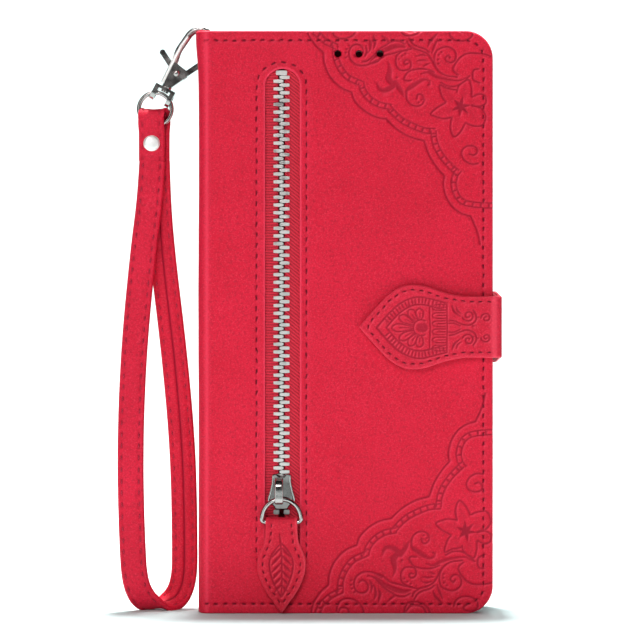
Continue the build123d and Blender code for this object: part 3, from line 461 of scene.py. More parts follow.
def gradient(outline, p):
    """Which way, in unit steps, an outline's distance grows."""
    e = 0.02
    gx = outline(p + (e, 0)) - outline(p - (e, 0))
    gz = outline(p + (0, e)) - outline(p - (0, e))
    g = np.column_stack([gx, gz]) / (2 * e)
    return g / np.maximum(np.linalg.norm(g, axis=1), 1e-6)[:, None]


def over_fold(face, fold_at, radius, side, mirror=None):
    """Where a flat sheet goes when it lies on a face and turns round a fold at its side."""

    def place(p, height):
        s, z = p[:, 0], p[:, 1]
        t = side * (s - fold_at)
        turn = np.clip(t / radius, 0, math.pi / 2)
        past = np.maximum(t - radius * math.pi / 2, 0)
        flat = t <= 0
        x = np.where(flat, s, fold_at + side * (radius + height) * np.sin(turn))
        y = np.where(flat, face - height, face + radius - (radius + height) * np.cos(turn) + past)
        if mirror is not None:
            y = 2 * mirror - y
        return np.column_stack([x, y, z])

    return place


def facing(face, side=-1):
    """A flat sheet whose outer side looks along Y: -1 to the front, 1 to the back."""
    return lambda p, height: np.column_stack([p[:, 0], face + side * height, p[:, 1]])


def spots(bm):
    return np.array([v.co[:] for v in bm.verts], float)


def finish_piece(bm, name, material, body=None, corner=0.85):
    """Turns a bmesh into a smooth piece of the scene, sharp where it bends by more than the corner."""
    bmesh.ops.recalc_face_normals(bm, faces=bm.faces[:])
    for face in bm.faces:
        face.smooth = True
    for e in bm.edges:
        if e.calc_face_angle(0.0) > corner:
            e.smooth = False
    mesh = bpy.data.meshes.new(name)
    bm.to_mesh(mesh)
    bm.free()
    mesh.materials.append(material)
    piece = bpy.data.objects.new(name, mesh)
    bpy.context.scene.collection.objects.link(piece)
    if body:
        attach(piece, body)
    return piece


def grid_sheet(low, high, cell):
    bm = bmesh.new()
    wide, tall = high[0] - low[0], high[1] - low[1]
    cells = max(1, round(wide / cell)), max(1, round(tall / cell))
    bmesh.ops.create_grid(bm, x_segments=cells[0], y_segments=cells[1], size=0.5)
    bmesh.ops.scale(bm, vec=(wide, tall, 1), verts=bm.verts[:])
    bmesh.ops.translate(bm, vec=((low[0] + high[0]) / 2, (low[1] + high[1]) / 2, 0), verts=bm.verts[:])
    return bm


def face_middles(bm):
    return np.array([f.calc_center_median()[:2] for f in bm.faces], float)


def split_near_marks(bm, cell, levels, outline, marks):
    """Smaller faces along the outline and the marks, halved once at each level."""
    for level in range(levels):
        step = cell / 2**level
        centres = face_middles(bm)
        near = (np.abs(outline(centres)) < step * 0.9) | (marks.gap(centres) < step * 0.7)
        edges = {e for f, wanted in zip(bm.faces[:], near) if wanted for e in f.edges}
        bmesh.ops.subdivide_edges(bm, edges=list(edges), cuts=1, use_grid_fill=True, use_single_edge=True)


def split_at(bm, cuts):
    """Straight cuts across the sheet, where it is to bend."""
    for at in cuts:
        bmesh.ops.bisect_plane(bm, geom=bm.verts[:] + bm.edges[:] + bm.faces[:], dist=1e-4,
                               plane_co=(at, 0, 0), plane_no=(1, 0, 0))


def draw_edge_in(bm, outline):
    """Moves the rough edge onto the outline."""
    edge = [v for v in bm.verts if v.is_boundary]
    p = np.array([v.co[:2] for v in edge], float)
    for _ in range(3):
        p = p - gradient(outline, p) * outline(p)[:, None]
    for v, (x, z) in zip(edge, p):
        v.co.x, v.co.y = x, z


def close_back(bm, outline, rim, pressed, painted_highlight):
    """Turns the edge down over each (inset, level) of the rim and fills the back."""
    for inset, level_at in rim:
        loose = [e for e in bm.edges if e.is_boundary]
        bmesh.ops.extrude_edge_only(bm, edges=loose)
        ring = list({v for e in bm.edges if e.is_boundary for v in e.verts})
        q = np.array([v.co[:2] for v in ring], float)
        if inset:
            amount = inset(q) if callable(inset) else inset
            q = q - gradient(outline, q) * np.reshape(amount, (-1, 1))
        levels_at = level_at(q) if callable(level_at) else np.full(len(q), level_at)
        for v, (x, z), level in zip(ring, q, levels_at):
            v.co = (x, z, level)
            v[pressed] = v[painted_highlight] = 0
    near_edge = [v for v in bm.verts if any(e.is_boundary for e in v.link_edges)]
    bmesh.ops.remove_doubles(bm, verts=near_edge, dist=1e-5)
    bmesh.ops.triangle_fill(bm, use_beauty=True, edges=[e for e in bm.edges if e.is_boundary])


def lay_uv(bm):
    """UV as on the flat sheet, in metres."""
    layer = bm.loops.layers.uv.new("laid_flat")
    for face in bm.faces:
        for loop in face.loops:
            loop[layer].uv = (loop.vert.co.x * MM, loop.vert.co.y * MM)


TO_LIGHT = (-0.27, 0.34)  # towards the lit side of a groove, on the flat sheet


def cut_sheet(low, high, cell, outline, marks, place, rim=((0, -0.9),), levels=2,
              rolled=0.5, roll=None, lift=None, highlight_at=None, cuts=(), uv=False):
    """A sheet cut to an outline: pressed and sewn on its outer side, edges turned, back closed."""
    bm = grid_sheet(low, high, cell)
    split_near_marks(bm, cell, levels, outline, marks)
    outside = outline(face_middles(bm)) > 0
    bmesh.ops.delete(bm, geom=[f for f, out in zip(bm.faces[:], outside) if out], context="FACES")
    split_at(bm, cuts)
    draw_edge_in(bm, outline)
    pressed = bm.verts.layers.float.new("pressed")
    painted_highlight = bm.verts.layers.float.new("painted_highlight")
    p = spots(bm)[:, :2]
    sink, tint = marks.depth(p)
    inside = np.maximum(-(roll or outline)(p), 0)
    # Painted highlight: paler along the cut edges, and on the groove walls that face the lamp
    pale = highlight_at(p) if highlight_at else 0.25 * np.exp(-((inside / 0.3) ** 2))
    lit_wall = marks.depth(p + TO_LIGHT)[0] - sink
    pale = np.maximum(pale, np.clip(lit_wall * 1.5, 0, 0.42))
    drop = rolled - np.sqrt(np.maximum(rolled**2 - np.maximum(rolled - inside, 0) ** 2, 0))
    height = -sink - drop + (lift(p) if lift else 0)
    for v, h, t, w in zip(bm.verts, height, tint, pale):
        v.co.z = h
        v[pressed] = t
        v[painted_highlight] = w
    close_back(bm, outline, rim, pressed, painted_highlight)
    split_at(bm, cuts)
    if uv:
        lay_uv(bm)
    p = spots(bm)
    for v, co in zip(bm.verts, place(p[:, :2], p[:, 2]) * MM):
        v.co = co
    return bm


def add_stitch(bm, at, axes, length, thick):
    """One thread, a long drop of few faces, lying along the first of its three axes."""
    turn = Matrix(axes).transposed().to_4x4()
    size = Matrix.Diagonal((length / 2 * MM, thick * MM, thick * MM, 1))
    bmesh.ops.create_uvsphere(bm, u_segments=6, v_segments=4, radius=1,
                              matrix=Matrix.Translation(Vector(at) * MM) @ turn @ size)


def add_dome(bm, at, radius, depth, segments):
    """A round head that looks along Y."""
    size = Matrix.Diagonal((radius * MM, depth * MM, radius * MM, 1))
    bmesh.ops.create_uvsphere(bm, u_segments=segments[0], v_segments=segments[1], radius=1,
                              matrix=Matrix.Translation(Vector(at) * MM) @ size)


ALL_SMOOTH = 3  # a corner angle that no edge reaches


def sew_threads(name, places, length, place, body=None, thick=0.2, sunk=0.06):
    """Short stitches lying in their dimples; each is (x, z, direction) on the flat sheet."""
    bm = bmesh.new()
    p = np.array(places, float)
    e = 0.05  # a small step, to find which way the sheet faces there
    here = place(p[:, :2], np.full(len(p), -sunk))
    way = np.column_stack([np.cos(p[:, 2]), np.sin(p[:, 2])])
    ahead = place(p[:, :2] + e * way, np.full(len(p), -sunk))
    above = place(p[:, :2], np.full(len(p), -sunk + e))
    for at, fore, up in zip(here, ahead, above):
        x = Vector(fore - at).normalized()
        z = Vector(up - at).normalized()
        add_stitch(bm, at, (x, z.cross(x), z), length, thick)
    return finish_piece(bm, name, THREAD, body, corner=ALL_SMOOTH)


def soft_waves(size, seed):
    """Slow hand-made unevenness of a padded sheet, in mm."""
    turn = np.random.default_rng(seed).uniform(0, 6.28, 6)

    def lift(p):
        x, z = p[:, 0], p[:, 1]
        return size * (np.sin(x / 9 + turn[0]) * np.sin(z / 14 + turn[1])
                       + 0.6 * np.sin(x / 4.1 + z / 7 + turn[2]) * np.sin(z / 5.3 + turn[3])
                       + 0.5 * np.sin(x / 15 - z / 11 + turn[4]))

    return lift


# Wrist strap: a flat leather lead, sewn along both edges, folded at the bottom
ring_low, ring_high = box_mm("strap_ring")
ring_middle = [(ring_low[k] + ring_high[k]) / 2 for k in range(3)]
STRAP_ROUTE = [  # from the ring's middle, down one run and up the other
    (-0.8, -1.05, -15.2), (-1.3, -1.05, -25.2), (-3.5, -1.5, -42.2), (-6.1, -2.4, -70.2), (-7.1, -3.5, -98.2),
    (-6.6, -4.0, -123.2), (-5.5, -4.0, -141.3), (1.5, 0.0, -145.9), (8.3, 4.0, -141.3), (8.4, 4.0, -123.2),
    (7.8, 3.5, -98.2), (5.3, 2.4, -70.2), (1.9, 1.5, -42.2), (0.6, 1.05, -25.2), (0.4, 1.05, -15.2),
]
STRAP_WIDTH, STRAP_THICK = 7.6, 2.0


def strap_line():
    """The strap's centre line, read from the smooth spline through its route, in mm."""
    data = bpy.data.curves.new("strap_line", "CURVE")
    data.dimensions = "3D"
    spline = data.splines.new("NURBS")
    spline.points.add(len(STRAP_ROUTE) - 1)
    for point, offset in zip(spline.points, STRAP_ROUTE):
        point.co = (*[(ring_middle[k] + offset[k]) * MM for k in range(3)], 1)
    spline.order_u = 3
    spline.use_endpoint_u = True
    data.resolution_u = 24
    holder = bpy.data.objects.new("strap_line", data)
    mesh = bpy.data.meshes.new_from_object(holder)
    line = np.array([v.co[:] for v in mesh.vertices], float) / MM
    bpy.data.objects.remove(holder)
    bpy.data.meshes.remove(mesh)
    return line


def even_steps(line, step):
    """Points at even steps along a line: length so far, place, and the band's two directions across."""
    gone = np.concatenate([[0], np.cumsum(np.linalg.norm(np.diff(line, axis=0), axis=1))])
    at = np.linspace(0, gone[-1], int(gone[-1] / step) + 1)
    points = np.column_stack([np.interp(at, gone, line[:, k]) for k in range(3)])
    heading = np.gradient(points, axis=0)
    heading /= np.linalg.norm(heading, axis=1)[:, None]
    wide = np.array([1.0, 0, 0]) - heading * heading[:, :1]
    wide /= np.linalg.norm(wide, axis=1)[:, None]
    out = np.cross(heading, wide)
    return at, points, wide, out


def band_section(width, thick, around=44, corner=0.8):
    """Half-rounded section of a folded leather band: across, out, and -1 or 1 on its two faces."""
    a, b = width / 2 - corner, thick / 2 - corner
    turn = np.linspace(0, 2 * math.pi, around * 8, endpoint=False)
    x = a * np.clip(np.cos(turn) * 3, -1, 1) + corner * np.cos(turn)
    y = b * np.clip(np.sin(turn) * 8, -1, 1) + corner * np.sin(turn)
    x, y = np.append(x, x[0]), np.append(y, y[0])
    gone = np.concatenate([[0], np.cumsum(np.hypot(np.diff(x), np.diff(y)))])
    at = np.linspace(0, gone[-1], around + 1)
    return np.interp(at, gone, x), np.interp(at, gone, y)


def folded_band(line, step, width, thick_at, sink, thick=STRAP_THICK, corner=0.8, around=44):
    """A band along a line of points; sink gives how deep its face goes, from length and across."""
    at, points, wide, out = even_steps(line, step)
    across, rise = band_section(width, thick, around, corner)
    count, around = len(at) - 1, len(across) - 1
    bm = bmesh.new()
    bmesh.ops.create_grid(bm, x_segments=count, y_segments=around, size=0.5)
    pressed = bm.verts.layers.float.new("pressed")
    layer = bm.loops.layers.uv.new("laid_flat")
    grid = np.array([v.co[:2] for v in bm.verts], float) + 0.5
    i = np.rint(grid[:, 0] * count).astype(int)
    j = np.rint(grid[:, 1] * around).astype(int)
    for face in bm.faces:
        for loop in face.loops:
            co = loop.vert.co
            loop[layer].uv = ((co.x + 0.5) * at[-1] * MM, (co.y + 0.5) * 2 * (width + thick) * MM)
    a, b = across[j], rise[j]
    depth, tint = sink(at[i], a, np.sign(b))
    flat = np.clip((width / 2 - np.abs(a)) / 0.8, 0, 1)
    b = b * thick_at(at[i]) / thick - np.sign(b) * depth * flat
    co = points[i] + wide[i] * a[:, None] + out[i] * b[:, None]
    for v, c, t in zip(bm.verts, co * MM, tint * flat):
        v.co = c
        v[pressed] = t
    bmesh.ops.remove_doubles(bm, verts=bm.verts[:], dist=1e-7)
    bmesh.ops.holes_fill(bm, edges=[e for e in bm.edges if e.is_boundary], sides=0)
    return bm, (at, points, wide, out)


def no_marks(length, across, face):
    return np.zeros(len(length)), np.zeros(len(length))


def even_thickness(thick):
    return lambda length: np.full(len(length), thick)


def metal_band(line, step, width, thick, corner, around=24):
    """A plain bent bar, or round wire where its corners are half its width."""
    return folded_band(line, step, width, even_thickness(thick), no_marks, thick, corner, around)[0]


def rounded_route(corners, radii):
    """Points along a bent wire in the XZ plane, with a radius at each corner between its ends."""
    corners = np.array(corners, float)
    out = [corners[0]]
    for i, radius in enumerate(radii, 1):
        back = (corners[i - 1] - corners[i]) / np.linalg.norm(corners[i - 1] - corners[i])
        on = (corners[i + 1] - corners[i]) / np.linalg.norm(corners[i + 1] - corners[i])
        half = math.acos(float(np.clip(back @ on, -1, 1))) / 2
        reach = radius / math.tan(half)
        heart = corners[i] + (back + on) / np.linalg.norm(back + on) * radius / math.sin(half)
        start, end = corners[i] + back * reach - heart, corners[i] + on * reach - heart
        for k in np.linspace(0, 1, 24):
            ray = start * (1 - k) + end * k
            out.append(heart + ray / np.linalg.norm(ray) * radius)
    return np.array(out)


STRAP_SEAMS = (-2.6, 2.4)  # the two stitch lines across the strap
STRAP_PITCH = 3.4
STRAP_STITCH = (1.5, 0.19)  # length and half thickness of a thread
GROOVE, STITCH_HOLE, MIDDLE_SEAM = 0.14, 0.2, 0.3  # how deep each goes in


def strap_sink(length, across, face):
    """Stitch lines on both faces; a seam down the middle of the inner one."""
    depth, tint = np.zeros(len(length)), np.zeros(len(length))
    for line in STRAP_SEAMS:
        off = np.abs(across - line)
        depth += GROOVE * np.exp(-((off / 0.45) ** 2))
        from_stitch = np.abs((length / STRAP_PITCH) % 1 - 0.5) * STRAP_PITCH
        hole = np.exp(-((off / 0.3) ** 2)) * np.clip(1.5 - from_stitch * 1.4, 0, 1)
        strong = np.where(face > 0, 1.0, 0.6)
        depth += STITCH_HOLE * hole * strong
        # Stitch holes darkened: painted shade
        tint = np.maximum(tint, 0.7 * hole * strong)
    seam = np.exp(-((across / 0.3) ** 2)) * (face < 0)
    return depth + MIDDLE_SEAM * seam, np.maximum(tint, 0.95 * seam)


def strap_threads(name, frames, faces=(1, -1), first=0.0):
    """Stitches along both seams, on the faces named, starting this far along the band."""
    at, points, wide, out = frames
    bm = bmesh.new()
    for side in faces:
        for seam in STRAP_SEAMS:
            for length in np.arange(first + STRAP_PITCH / 2, at[-1] - 0.5, STRAP_PITCH):
                k = int(np.argmin(np.abs(at - length)))
                co = points[k] + wide[k] * seam + out[k] * side * (STRAP_THICK / 2 - 0.2)
                axes = Vector(np.cross(wide[k], out[k])), Vector(wide[k]), Vector(out[k])
                add_stitch(bm, co, axes, *STRAP_STITCH)
    finish_piece(bm, name, STRAP_THREAD, "strap", corner=ALL_SMOOTH)


line = strap_line()
strap_bm, strap_frames = folded_band(line, 0.5, STRAP_WIDTH, even_thickness(STRAP_THICK), strap_sink)
strap = finish_piece(strap_bm, "wrist_strap_leather", STRAP_LEATHER, "strap")
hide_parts("wrist_strap")
strap_threads("strap_stitches", strap_frames)

# The strap's riveted end, folded up and round the small ring
fold_low, fold_high = box_mm("strap_fold")
fold_half = (fold_high[1] - fold_low[1]) / 2
eye_z = fold_high[2] - fold_half
LAYER_THIN, LAYER_THICK = 1.25, 2.0  # the leather round the ring, and where it is riveted
layer_y = fold_half - LAYER_THIN / 2
turns = [math.radians(t) for t in range(-90, 91, 15)]
fold_line = [(-1.05, fold_low[2]), (-1.05, eye_z - 6.5), (-1.1, eye_z - 4.5), (-1.4, eye_z - 2.4)]
fold_line += [(layer_y * math.sin(t), eye_z + layer_y * math.cos(t)) for t in turns]
fold_line += [(-y, z) for y, z in reversed(fold_line[:4])]
fold_points = np.array([(ring_middle[0] - 0.3 + 0.6 * y, ring_middle[1] + y, z) for y, z in fold_line])
fold_run = np.linalg.norm(np.diff(fold_points, axis=0), axis=1).sum()
END_SHIFT = 1.0  # how far the end's stitches are out of step


def fold_thickness(s):
    from_ring = np.abs(s - fold_run / 2)
    return LAYER_THIN + (LAYER_THICK - LAYER_THIN) * np.clip((from_ring - 5.2) / 2.5, 0, 1)


def fold_sink(length, across, face):
    return strap_sink(length + END_SHIFT, across, np.ones(len(face)))


fold_bm, fold_frames = folded_band(fold_points, 0.4, STRAP_WIDTH, fold_thickness, fold_sink)
strap_end = finish_piece(fold_bm, "strap_end_leather", STRAP_LEATHER, "strap")
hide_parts("strap_fold")
strap_threads("strap_end_stitches", fold_frames, faces=(1,), first=-END_SHIFT)


# The corner ornament: scrolls, leaves and a flower inside a scalloped border.
# Points are (from the free edge, up from the bottom edge), or with a half width.
SCALLOPS = [
    [(2.2, 63.5), (2.9, 60.3), (3.9, 57.7), (5.0, 55.4)],
    [(5.0, 55.4), (7.6, 54.6), (10.1, 52.8), (12.0, 49.8), (12.8, 46.4), (12.5, 43.9)],
    [(12.5, 43.9), (14.5, 41.6), (16.8, 38.0), (17.9, 35.1), (18.4, 33.7)],
    [(18.4, 33.7), (21.5, 32.9), (24.5, 31.5), (27.2, 29.5), (29.3, 27.4)],
    [(29.3, 27.4), (32.3, 26.8), (35.6, 25.0), (38.2, 22.4), (39.3, 19.7)],
    [(39.3, 19.7), (42.6, 18.2), (45.6, 15.0), (47.1, 11.4), (47.4, 8.3)],
    [(47.4, 8.3), (49.6, 6.2), (51.7, 3.2)],
    [(51.7, 3.2), (52.2, 1.0), (52.3, -1.5)],
]
BEAD_LINES = [
    [(-1.5, 52.4), (2.9, 52.2), (6.4, 51.6), (8.4, 50.2), (9.5, 48.0), (9.8, 45.8), (9.4, 43.7),
     (8.6, 42.5)],
    [(9.3, 42.4), (11.2, 40.6), (13.1, 38.3), (14.6, 35.8), (15.4, 33.3), (15.6, 31.4)],
    [(15.7, 30.9), (18.1, 30.7), (21.0, 29.7), (24.5, 27.9), (26.9, 25.9), (28.3, 24.3)],
    [(28.4, 23.9), (31.2, 23.3), (34.0, 21.6), (35.9, 19.2), (36.4, 17.4)],
    [(36.8, 17.1), (40.4, 15.3), (42.8, 12.2), (43.9, 9.0), (43.9, 6.8)],
    [(44.0, 6.4), (46.8, 5.0), (49.5, 2.6)],
    [(49.5, 2.6), (50.3, 0.6), (50.5, -1.5)],
]
FLOWER = (7.9, 23.7)
PETALS = [
    [(10.4, 27.0), (10.8, 29.9), (9.8, 32.5), (7.9, 31.1), (6.5, 28.6)],
    [(6.2, 28.6), (4.1, 29.4), (1.6, 29.2), (0.6, 26.6), (2.0, 24.4), (4.6, 23.6)],
    [(10.4, 26.9), (12.7, 27.3), (14.8, 26.8), (16.4, 26.0), (15.0, 24.4), (12.2, 22.7)],
    [(12.1, 22.5), (13.2, 20.9), (13.9, 17.8), (11.9, 18.5), (9.3, 19.0)],
    [(8.9, 19.5), (8.3, 17.8), (5.6, 16.1), (4.7, 18.5), (4.6, 20.8)],
    [(4.5, 21.0), (2.4, 20.2), (0.8, 20.8), (0.6, 22.8), (2.4, 23.8), (4.6, 23.4)],
]
STAR = [(8.1, 26.6), (5.7, 25.8), (5.1, 23.4), (7.2, 21.1), (9.6, 22.0), (10.2, 24.9)]
SCROLLS = [
    [(38.6, 9.0), (38.0, 9.5), (37.0, 9.4), (36.1, 8.4), (36.0, 7.2), (36.7, 6.2), (37.9, 5.9),
     (39.2, 6.4), (39.9, 7.6), (40.0, 8.9), (39.5, 10.4), (38.5, 11.4), (37.4, 11.9), (36.0, 12.0),
     (34.7, 11.8), (33.4, 11.2), (32.0, 10.4)],
    [(36.1, 10.9), (34.7, 10.6), (33.4, 9.6), (32.0, 8.1), (30.7, 6.9), (29.2, 6.0), (27.7, 5.1),
     (25.7, 4.9), (23.9, 5.8)],
    [(33.4, 11.4), (32.0, 10.9), (30.9, 10.0), (29.4, 9.0), (27.0, 8.4), (25.4, 7.9), (23.4, 7.7)],
    [(23.1, 11.4), (23.8, 11.6), (24.1, 10.9), (23.4, 10.3), (22.5, 10.7), (22.1, 11.8), (22.6, 13.0),
     (23.9, 13.4), (25.4, 13.2), (26.3, 12.1), (26.5, 10.6), (26.2, 9.2), (25.2, 8.2), (23.9, 7.6),
     (22.1, 7.2)],
    [(10.9, 9.7), (11.4, 9.1), (12.1, 9.7), (12.0, 10.6), (10.8, 11.2), (9.6, 10.6), (9.1, 9.2),
     (9.7, 7.6), (11.4, 6.6), (13.1, 6.8), (14.8, 7.8), (15.4, 9.7), (15.2, 11.8), (13.9, 13.8),
     (11.7, 15.0), (8.9, 15.3)],
    [(20.5, 21.6), (20.2, 20.4), (19.1, 20.4), (18.4, 21.6), (18.8, 23.0), (20.3, 23.7), (22.0, 23.3),
     (23.2, 22.0), (23.5, 20.4), (23.2, 18.7), (22.4, 18.0)],
    [(13.6, 16.9), (11.7, 17.9), (9.8, 18.0), (8.4, 17.6), (6.5, 16.3), (5.3, 15.0)],
    [(22.2, 16.3), (23.6, 16.4), (24.1, 15.6), (22.9, 13.8), (21.0, 13.1), (18.9, 12.9), (17.2, 13.2),
     (15.5, 13.9)],
    [(2.4, 17.0), (4.1, 16.1), (4.4, 14.4), (3.9, 13.2), (2.7, 13.0)],
    [(8.6, 14.7), (9.8, 13.6), (9.8, 12.3), (8.6, 10.4), (6.9, 8.9), (4.8, 8.4), (1.2, 8.7), (-1.0, 9.4)],
    [(23.2, 4.9), (22.8, 5.9), (21.5, 7.0), (19.1, 7.8), (17.2, 8.9), (15.9, 10.8), (15.1, 12.5)],
    [(22.7, 4.1), (21.7, 5.6), (20.5, 6.4), (18.1, 7.2), (17.0, 8.1)],
    [(11.2, 2.3), (10.5, 3.9), (8.9, 4.8), (6.9, 4.8), (5.3, 4.2), (4.4, 3.0), (4.6, 1.4), (6.2, 0.6),
     (7.9, 0.9), (8.4, 1.8), (7.6, 2.6)],
    [(25.1, 0.6), (23.6, 2.2), (21.5, 2.3), (19.8, 1.3), (19.3, -0.8)],
    [(25.7, -0.2), (24.9, 2.6), (23.1, 3.4), (21.1, 3.1), (19.2, 2.0), (18.2, 0.2), (18.2, -1.0)],
    [(45.0, 0.8), (44.7, 2.4), (44.0, 3.6), (42.7, 4.2), (41.0, 4.2), (39.4, 3.6), (38.2, 2.6),
     (37.4, 1.1), (37.2, -1.0)],
    [(44.5, 0.4), (44.0, 1.4), (42.8, 1.7), (41.8, 1.1), (41.4, -0.2), (41.6, -1.0)],
    [(2.8, 40.2), (4.6, 40.4), (6.6, 39.4), (7.6, 37.5), (7.0, 35.9), (5.4, 35.1), (3.6, 35.5),
     (3.0, 36.8), (4.0, 37.8), (5.2, 37.5)],
]
LEAVES = [
    [(34.0, 10.9, 0.15), (32.6, 9.6, 0.35), (31.2, 8.4, 0.55), (29.4, 7.4, 0.7), (27.4, 6.6, 0.75),
     (25.4, 6.3, 0.6), (23.9, 6.7, 0.3)],
    [(27.0, 17.6, 0.8), (28.7, 18.8, 0.75), (30.4, 19.1, 0.6), (31.4, 18.4, 0.5), (31.9, 16.7, 0.15)],
    [(27.4, 17.3, 0.8), (28.6, 15.7, 0.9), (28.3, 13.7, 0.65), (28.4, 12.1, 0.4), (28.9, 10.7, 0.1)],
    [(26.7, 17.0, 0.8), (25.6, 18.4, 0.7), (24.7, 19.7, 0.5), (24.2, 20.9, 0.1)],
    [(23.6, 19.4, 0.3), (22.0, 18.1, 0.65), (20.1, 16.8, 0.6), (18.4, 16.0, 0.4), (17.0, 16.4, 0.3),
     (16.8, 17.5, 0.35)],
    [(19.3, 14.4, 0.2), (17.2, 13.9, 0.45), (14.8, 15.1, 0.5), (11.7, 15.9, 0.4), (8.4, 16.3, 0.3),
     (6.7, 15.7, 0.25), (5.3, 14.9, 0.15)],
]
FEATHERS = [
    [(35.6, 9.6, 0.12), (34.9, 8.1, 0.35), (35.1, 6.2, 0.15)],
    [(34.7, 8.6, 0.1), (33.9, 7.1, 0.3), (33.8, 5.4, 0.35), (34.2, 4.3, 0.2)],
    [(33.0, 7.2, 0.1), (32.5, 5.7, 0.35), (32.8, 4.4, 0.35), (33.0, 3.3, 0.15)],
    [(28.5, 5.0, 0.25), (29.5, 4.2, 0.25), (30.5, 3.4, 0.12)],
    [(17.3, 6.6, 0.1), (16.7, 5.1, 0.35), (15.5, 3.7, 0.35), (14.6, 2.8, 0.1)],
    [(16.1, 8.5, 0.1), (15.5, 6.6, 0.35), (14.5, 4.4, 0.2)],
    [(18.6, 12.2, 0.1), (17.7, 11.7, 0.3), (16.7, 11.3, 0.1)],
    [(20.5, 10.7, 0.1), (18.9, 10.4, 0.3), (17.2, 10.6, 0.1)],
    [(20.7, 9.3, 0.1), (19.1, 8.9, 0.3), (17.7, 9.3, 0.1)],
]
DOTS = [
    (25.6, 10.1), (24.7, 9.2), (23.7, 8.6), (40.8, 9.6), (40.9, 8.3), (40.6, 7.2), (39.9, 6.2), (14.2, 11.4),
    (14.3, 10.3), (14.1, 8.9), (13.3, 8.1), (19.9, 22.6), (19.0, 21.8), (26.2, 15.4), (17.2, 17.6),
]


def press_beads(put, arc):
    """A ladder: two rails, a little longer than their line, and rungs between them."""
    fine = flowing(arc, 0.3)
    first, last = fine[0] - fine[1], fine[-1] - fine[-2]
    start = fine[0] + 0.5 * first / np.linalg.norm(first)
    end = fine[-1] + 0.5 * last / np.linalg.norm(last)
    fine = np.vstack([start, fine, end])
    way = np.gradient(fine, axis=0)
    side = np.column_stack([-way[:, 1], way[:, 0]]) / np.linalg.norm(way, axis=1)[:, None]
    for off in (-0.72, 0.72):
        put(fine + side * off, half=0.22, depth=0.3)
    for x, z, angle in along_line(arc, 2.2):
        nx, nz = -math.sin(angle) * 0.6, math.cos(angle) * 0.6
        put([(x - nx, z - nz), (x + nx, z + nz)], half=0.3, depth=0.3)


def press_corner(marks, spot):
    """Presses the ornament; spot turns its own coordinates into the sheet's."""

    def put(points, **how):
        rows = [(*spot(row[0], row[1]), *row[2:]) for row in points]
        marks.press(rows, **how)

    for arc in SCALLOPS:
        put(arc, half=0.27, depth=0.36)
    for arc in BEAD_LINES:
        press_beads(put, arc)
    for petal in PETALS:
        put(petal, half=0.27)
        tip = np.mean(petal[1:-1], axis=0)
        near = np.array(FLOWER) + (tip - FLOWER) * 0.5
        # A shallow dip at each petal's base, darkened with painted shade
        put([(*near, 0.9), (*(near + (tip - near) * 0.5), 0.7), (*tip, 0.2)], depth=0.12, kind="shade")
    for point in STAR:
        half_way = (np.array(point) + FLOWER) / 2
        put([(*FLOWER, 0.75), (*half_way, 0.5), (*point, 0.1)], depth=0.4)
    for scroll in SCROLLS:
        put(scroll)
    for leaf in LEAVES:
        put(leaf, depth=0.36, kind="broad")
    for feather in FEATHERS:
        put(feather, depth=0.3)
    for x, z in DOTS:
        put([(x, z, 0.3), (x + 0.05, z, 0.3)], depth=0.32)


# Front cover and the front half of the spine, one skin
BEYOND_SPINE = 30  # so far that an outline has no edge on the spine's side


def cover_edge(p):
    """The cover's outer edges, without the one that goes on as the spine."""
    return cover_shape(p, spine_end - BEYOND_SPINE)


def front_outline(p):
    clip_slot = slot_shape(p, spine_end, *CLIP_SLOT)
    return less(cover_shape(p, spine_end), speaker_holes(p), slot_shape(p, *ZIP_WINDOW), clip_slot)


def front_roll(p):
    return less(cover_edge(p), speaker_holes(p), slot_shape(p, *ZIP_WINDOW))


front_place = over_fold(front_face, fold_x, fold_radius, -1)
arc_cuts = [fold_x - fold_length * k / 8 for k in range(0, 9)]
SEAM_INSET = 2.75
BORDER_STITCH, ZIP_STITCH, COVER_STITCH = 1.0, 1.4, 1.25  # lengths of thread that show
COVER_PITCH = 2.9
ZIP_SEAM_HALF, ZIP_SEAM_FOOT, ZIP_SEAM_TOP = 7.2, 16.7, 151.8  # half width, and where its round ends begin


def arc_line(centre, radius, first, last, step=15):
    """Points of an arc, from one angle in degrees to another."""
    count = round((last - first) / step)
    turns = np.radians(np.linspace(first, last, abs(count) + 1))
    return [(centre[0] + radius * math.cos(t), centre[1] + radius * math.sin(t)) for t in turns]


front_border = [(fold_x - 2.1, SEAM_INSET), (free_edge - 10.0, SEAM_INSET)]
front_border += arc_line((free_edge - CORNER, CORNER), CORNER - SEAM_INSET, -90, 0)
front_border += [(free_edge - SEAM_INSET, 20), (free_edge - SEAM_INSET, case_height / 2)]
front_border += [(x, case_height - z) for x, z in reversed(front_border[:-1])]
zip_seam = [(zip_x - ZIP_SEAM_HALF, ZIP_SEAM_FOOT), (zip_x - ZIP_SEAM_HALF, ZIP_SEAM_TOP - 2)]
zip_seam += arc_line((zip_x, ZIP_SEAM_TOP), ZIP_SEAM_HALF, 180, 0)
zip_seam += arc_line((zip_x, ZIP_SEAM_FOOT), ZIP_SEAM_HALF, 0, -180)

front_marks = Marks()
press_corner(front_marks, lambda a, b: (free_edge - a, b))
press_corner(front_marks, lambda a, b: (free_edge - a - 1.45, case_height + 2.0 - b))
border_stitches = front_marks.seam(front_border, 2.68, 11, BORDER_STITCH, depth=0.5, half=0.26)
zip_stitches = front_marks.seam(zip_seam, 3.04, 12, ZIP_STITCH)
# Painted shade along the spine's bend, carried by the pressed tint
front_marks.press([(fold_x - 2.6, -5), (fold_x - 2.6, 175)], 0.5, 0, "shade")  # along the spine's bend
front_marks.settle()
front_waves = soft_waves(0.05, 3)


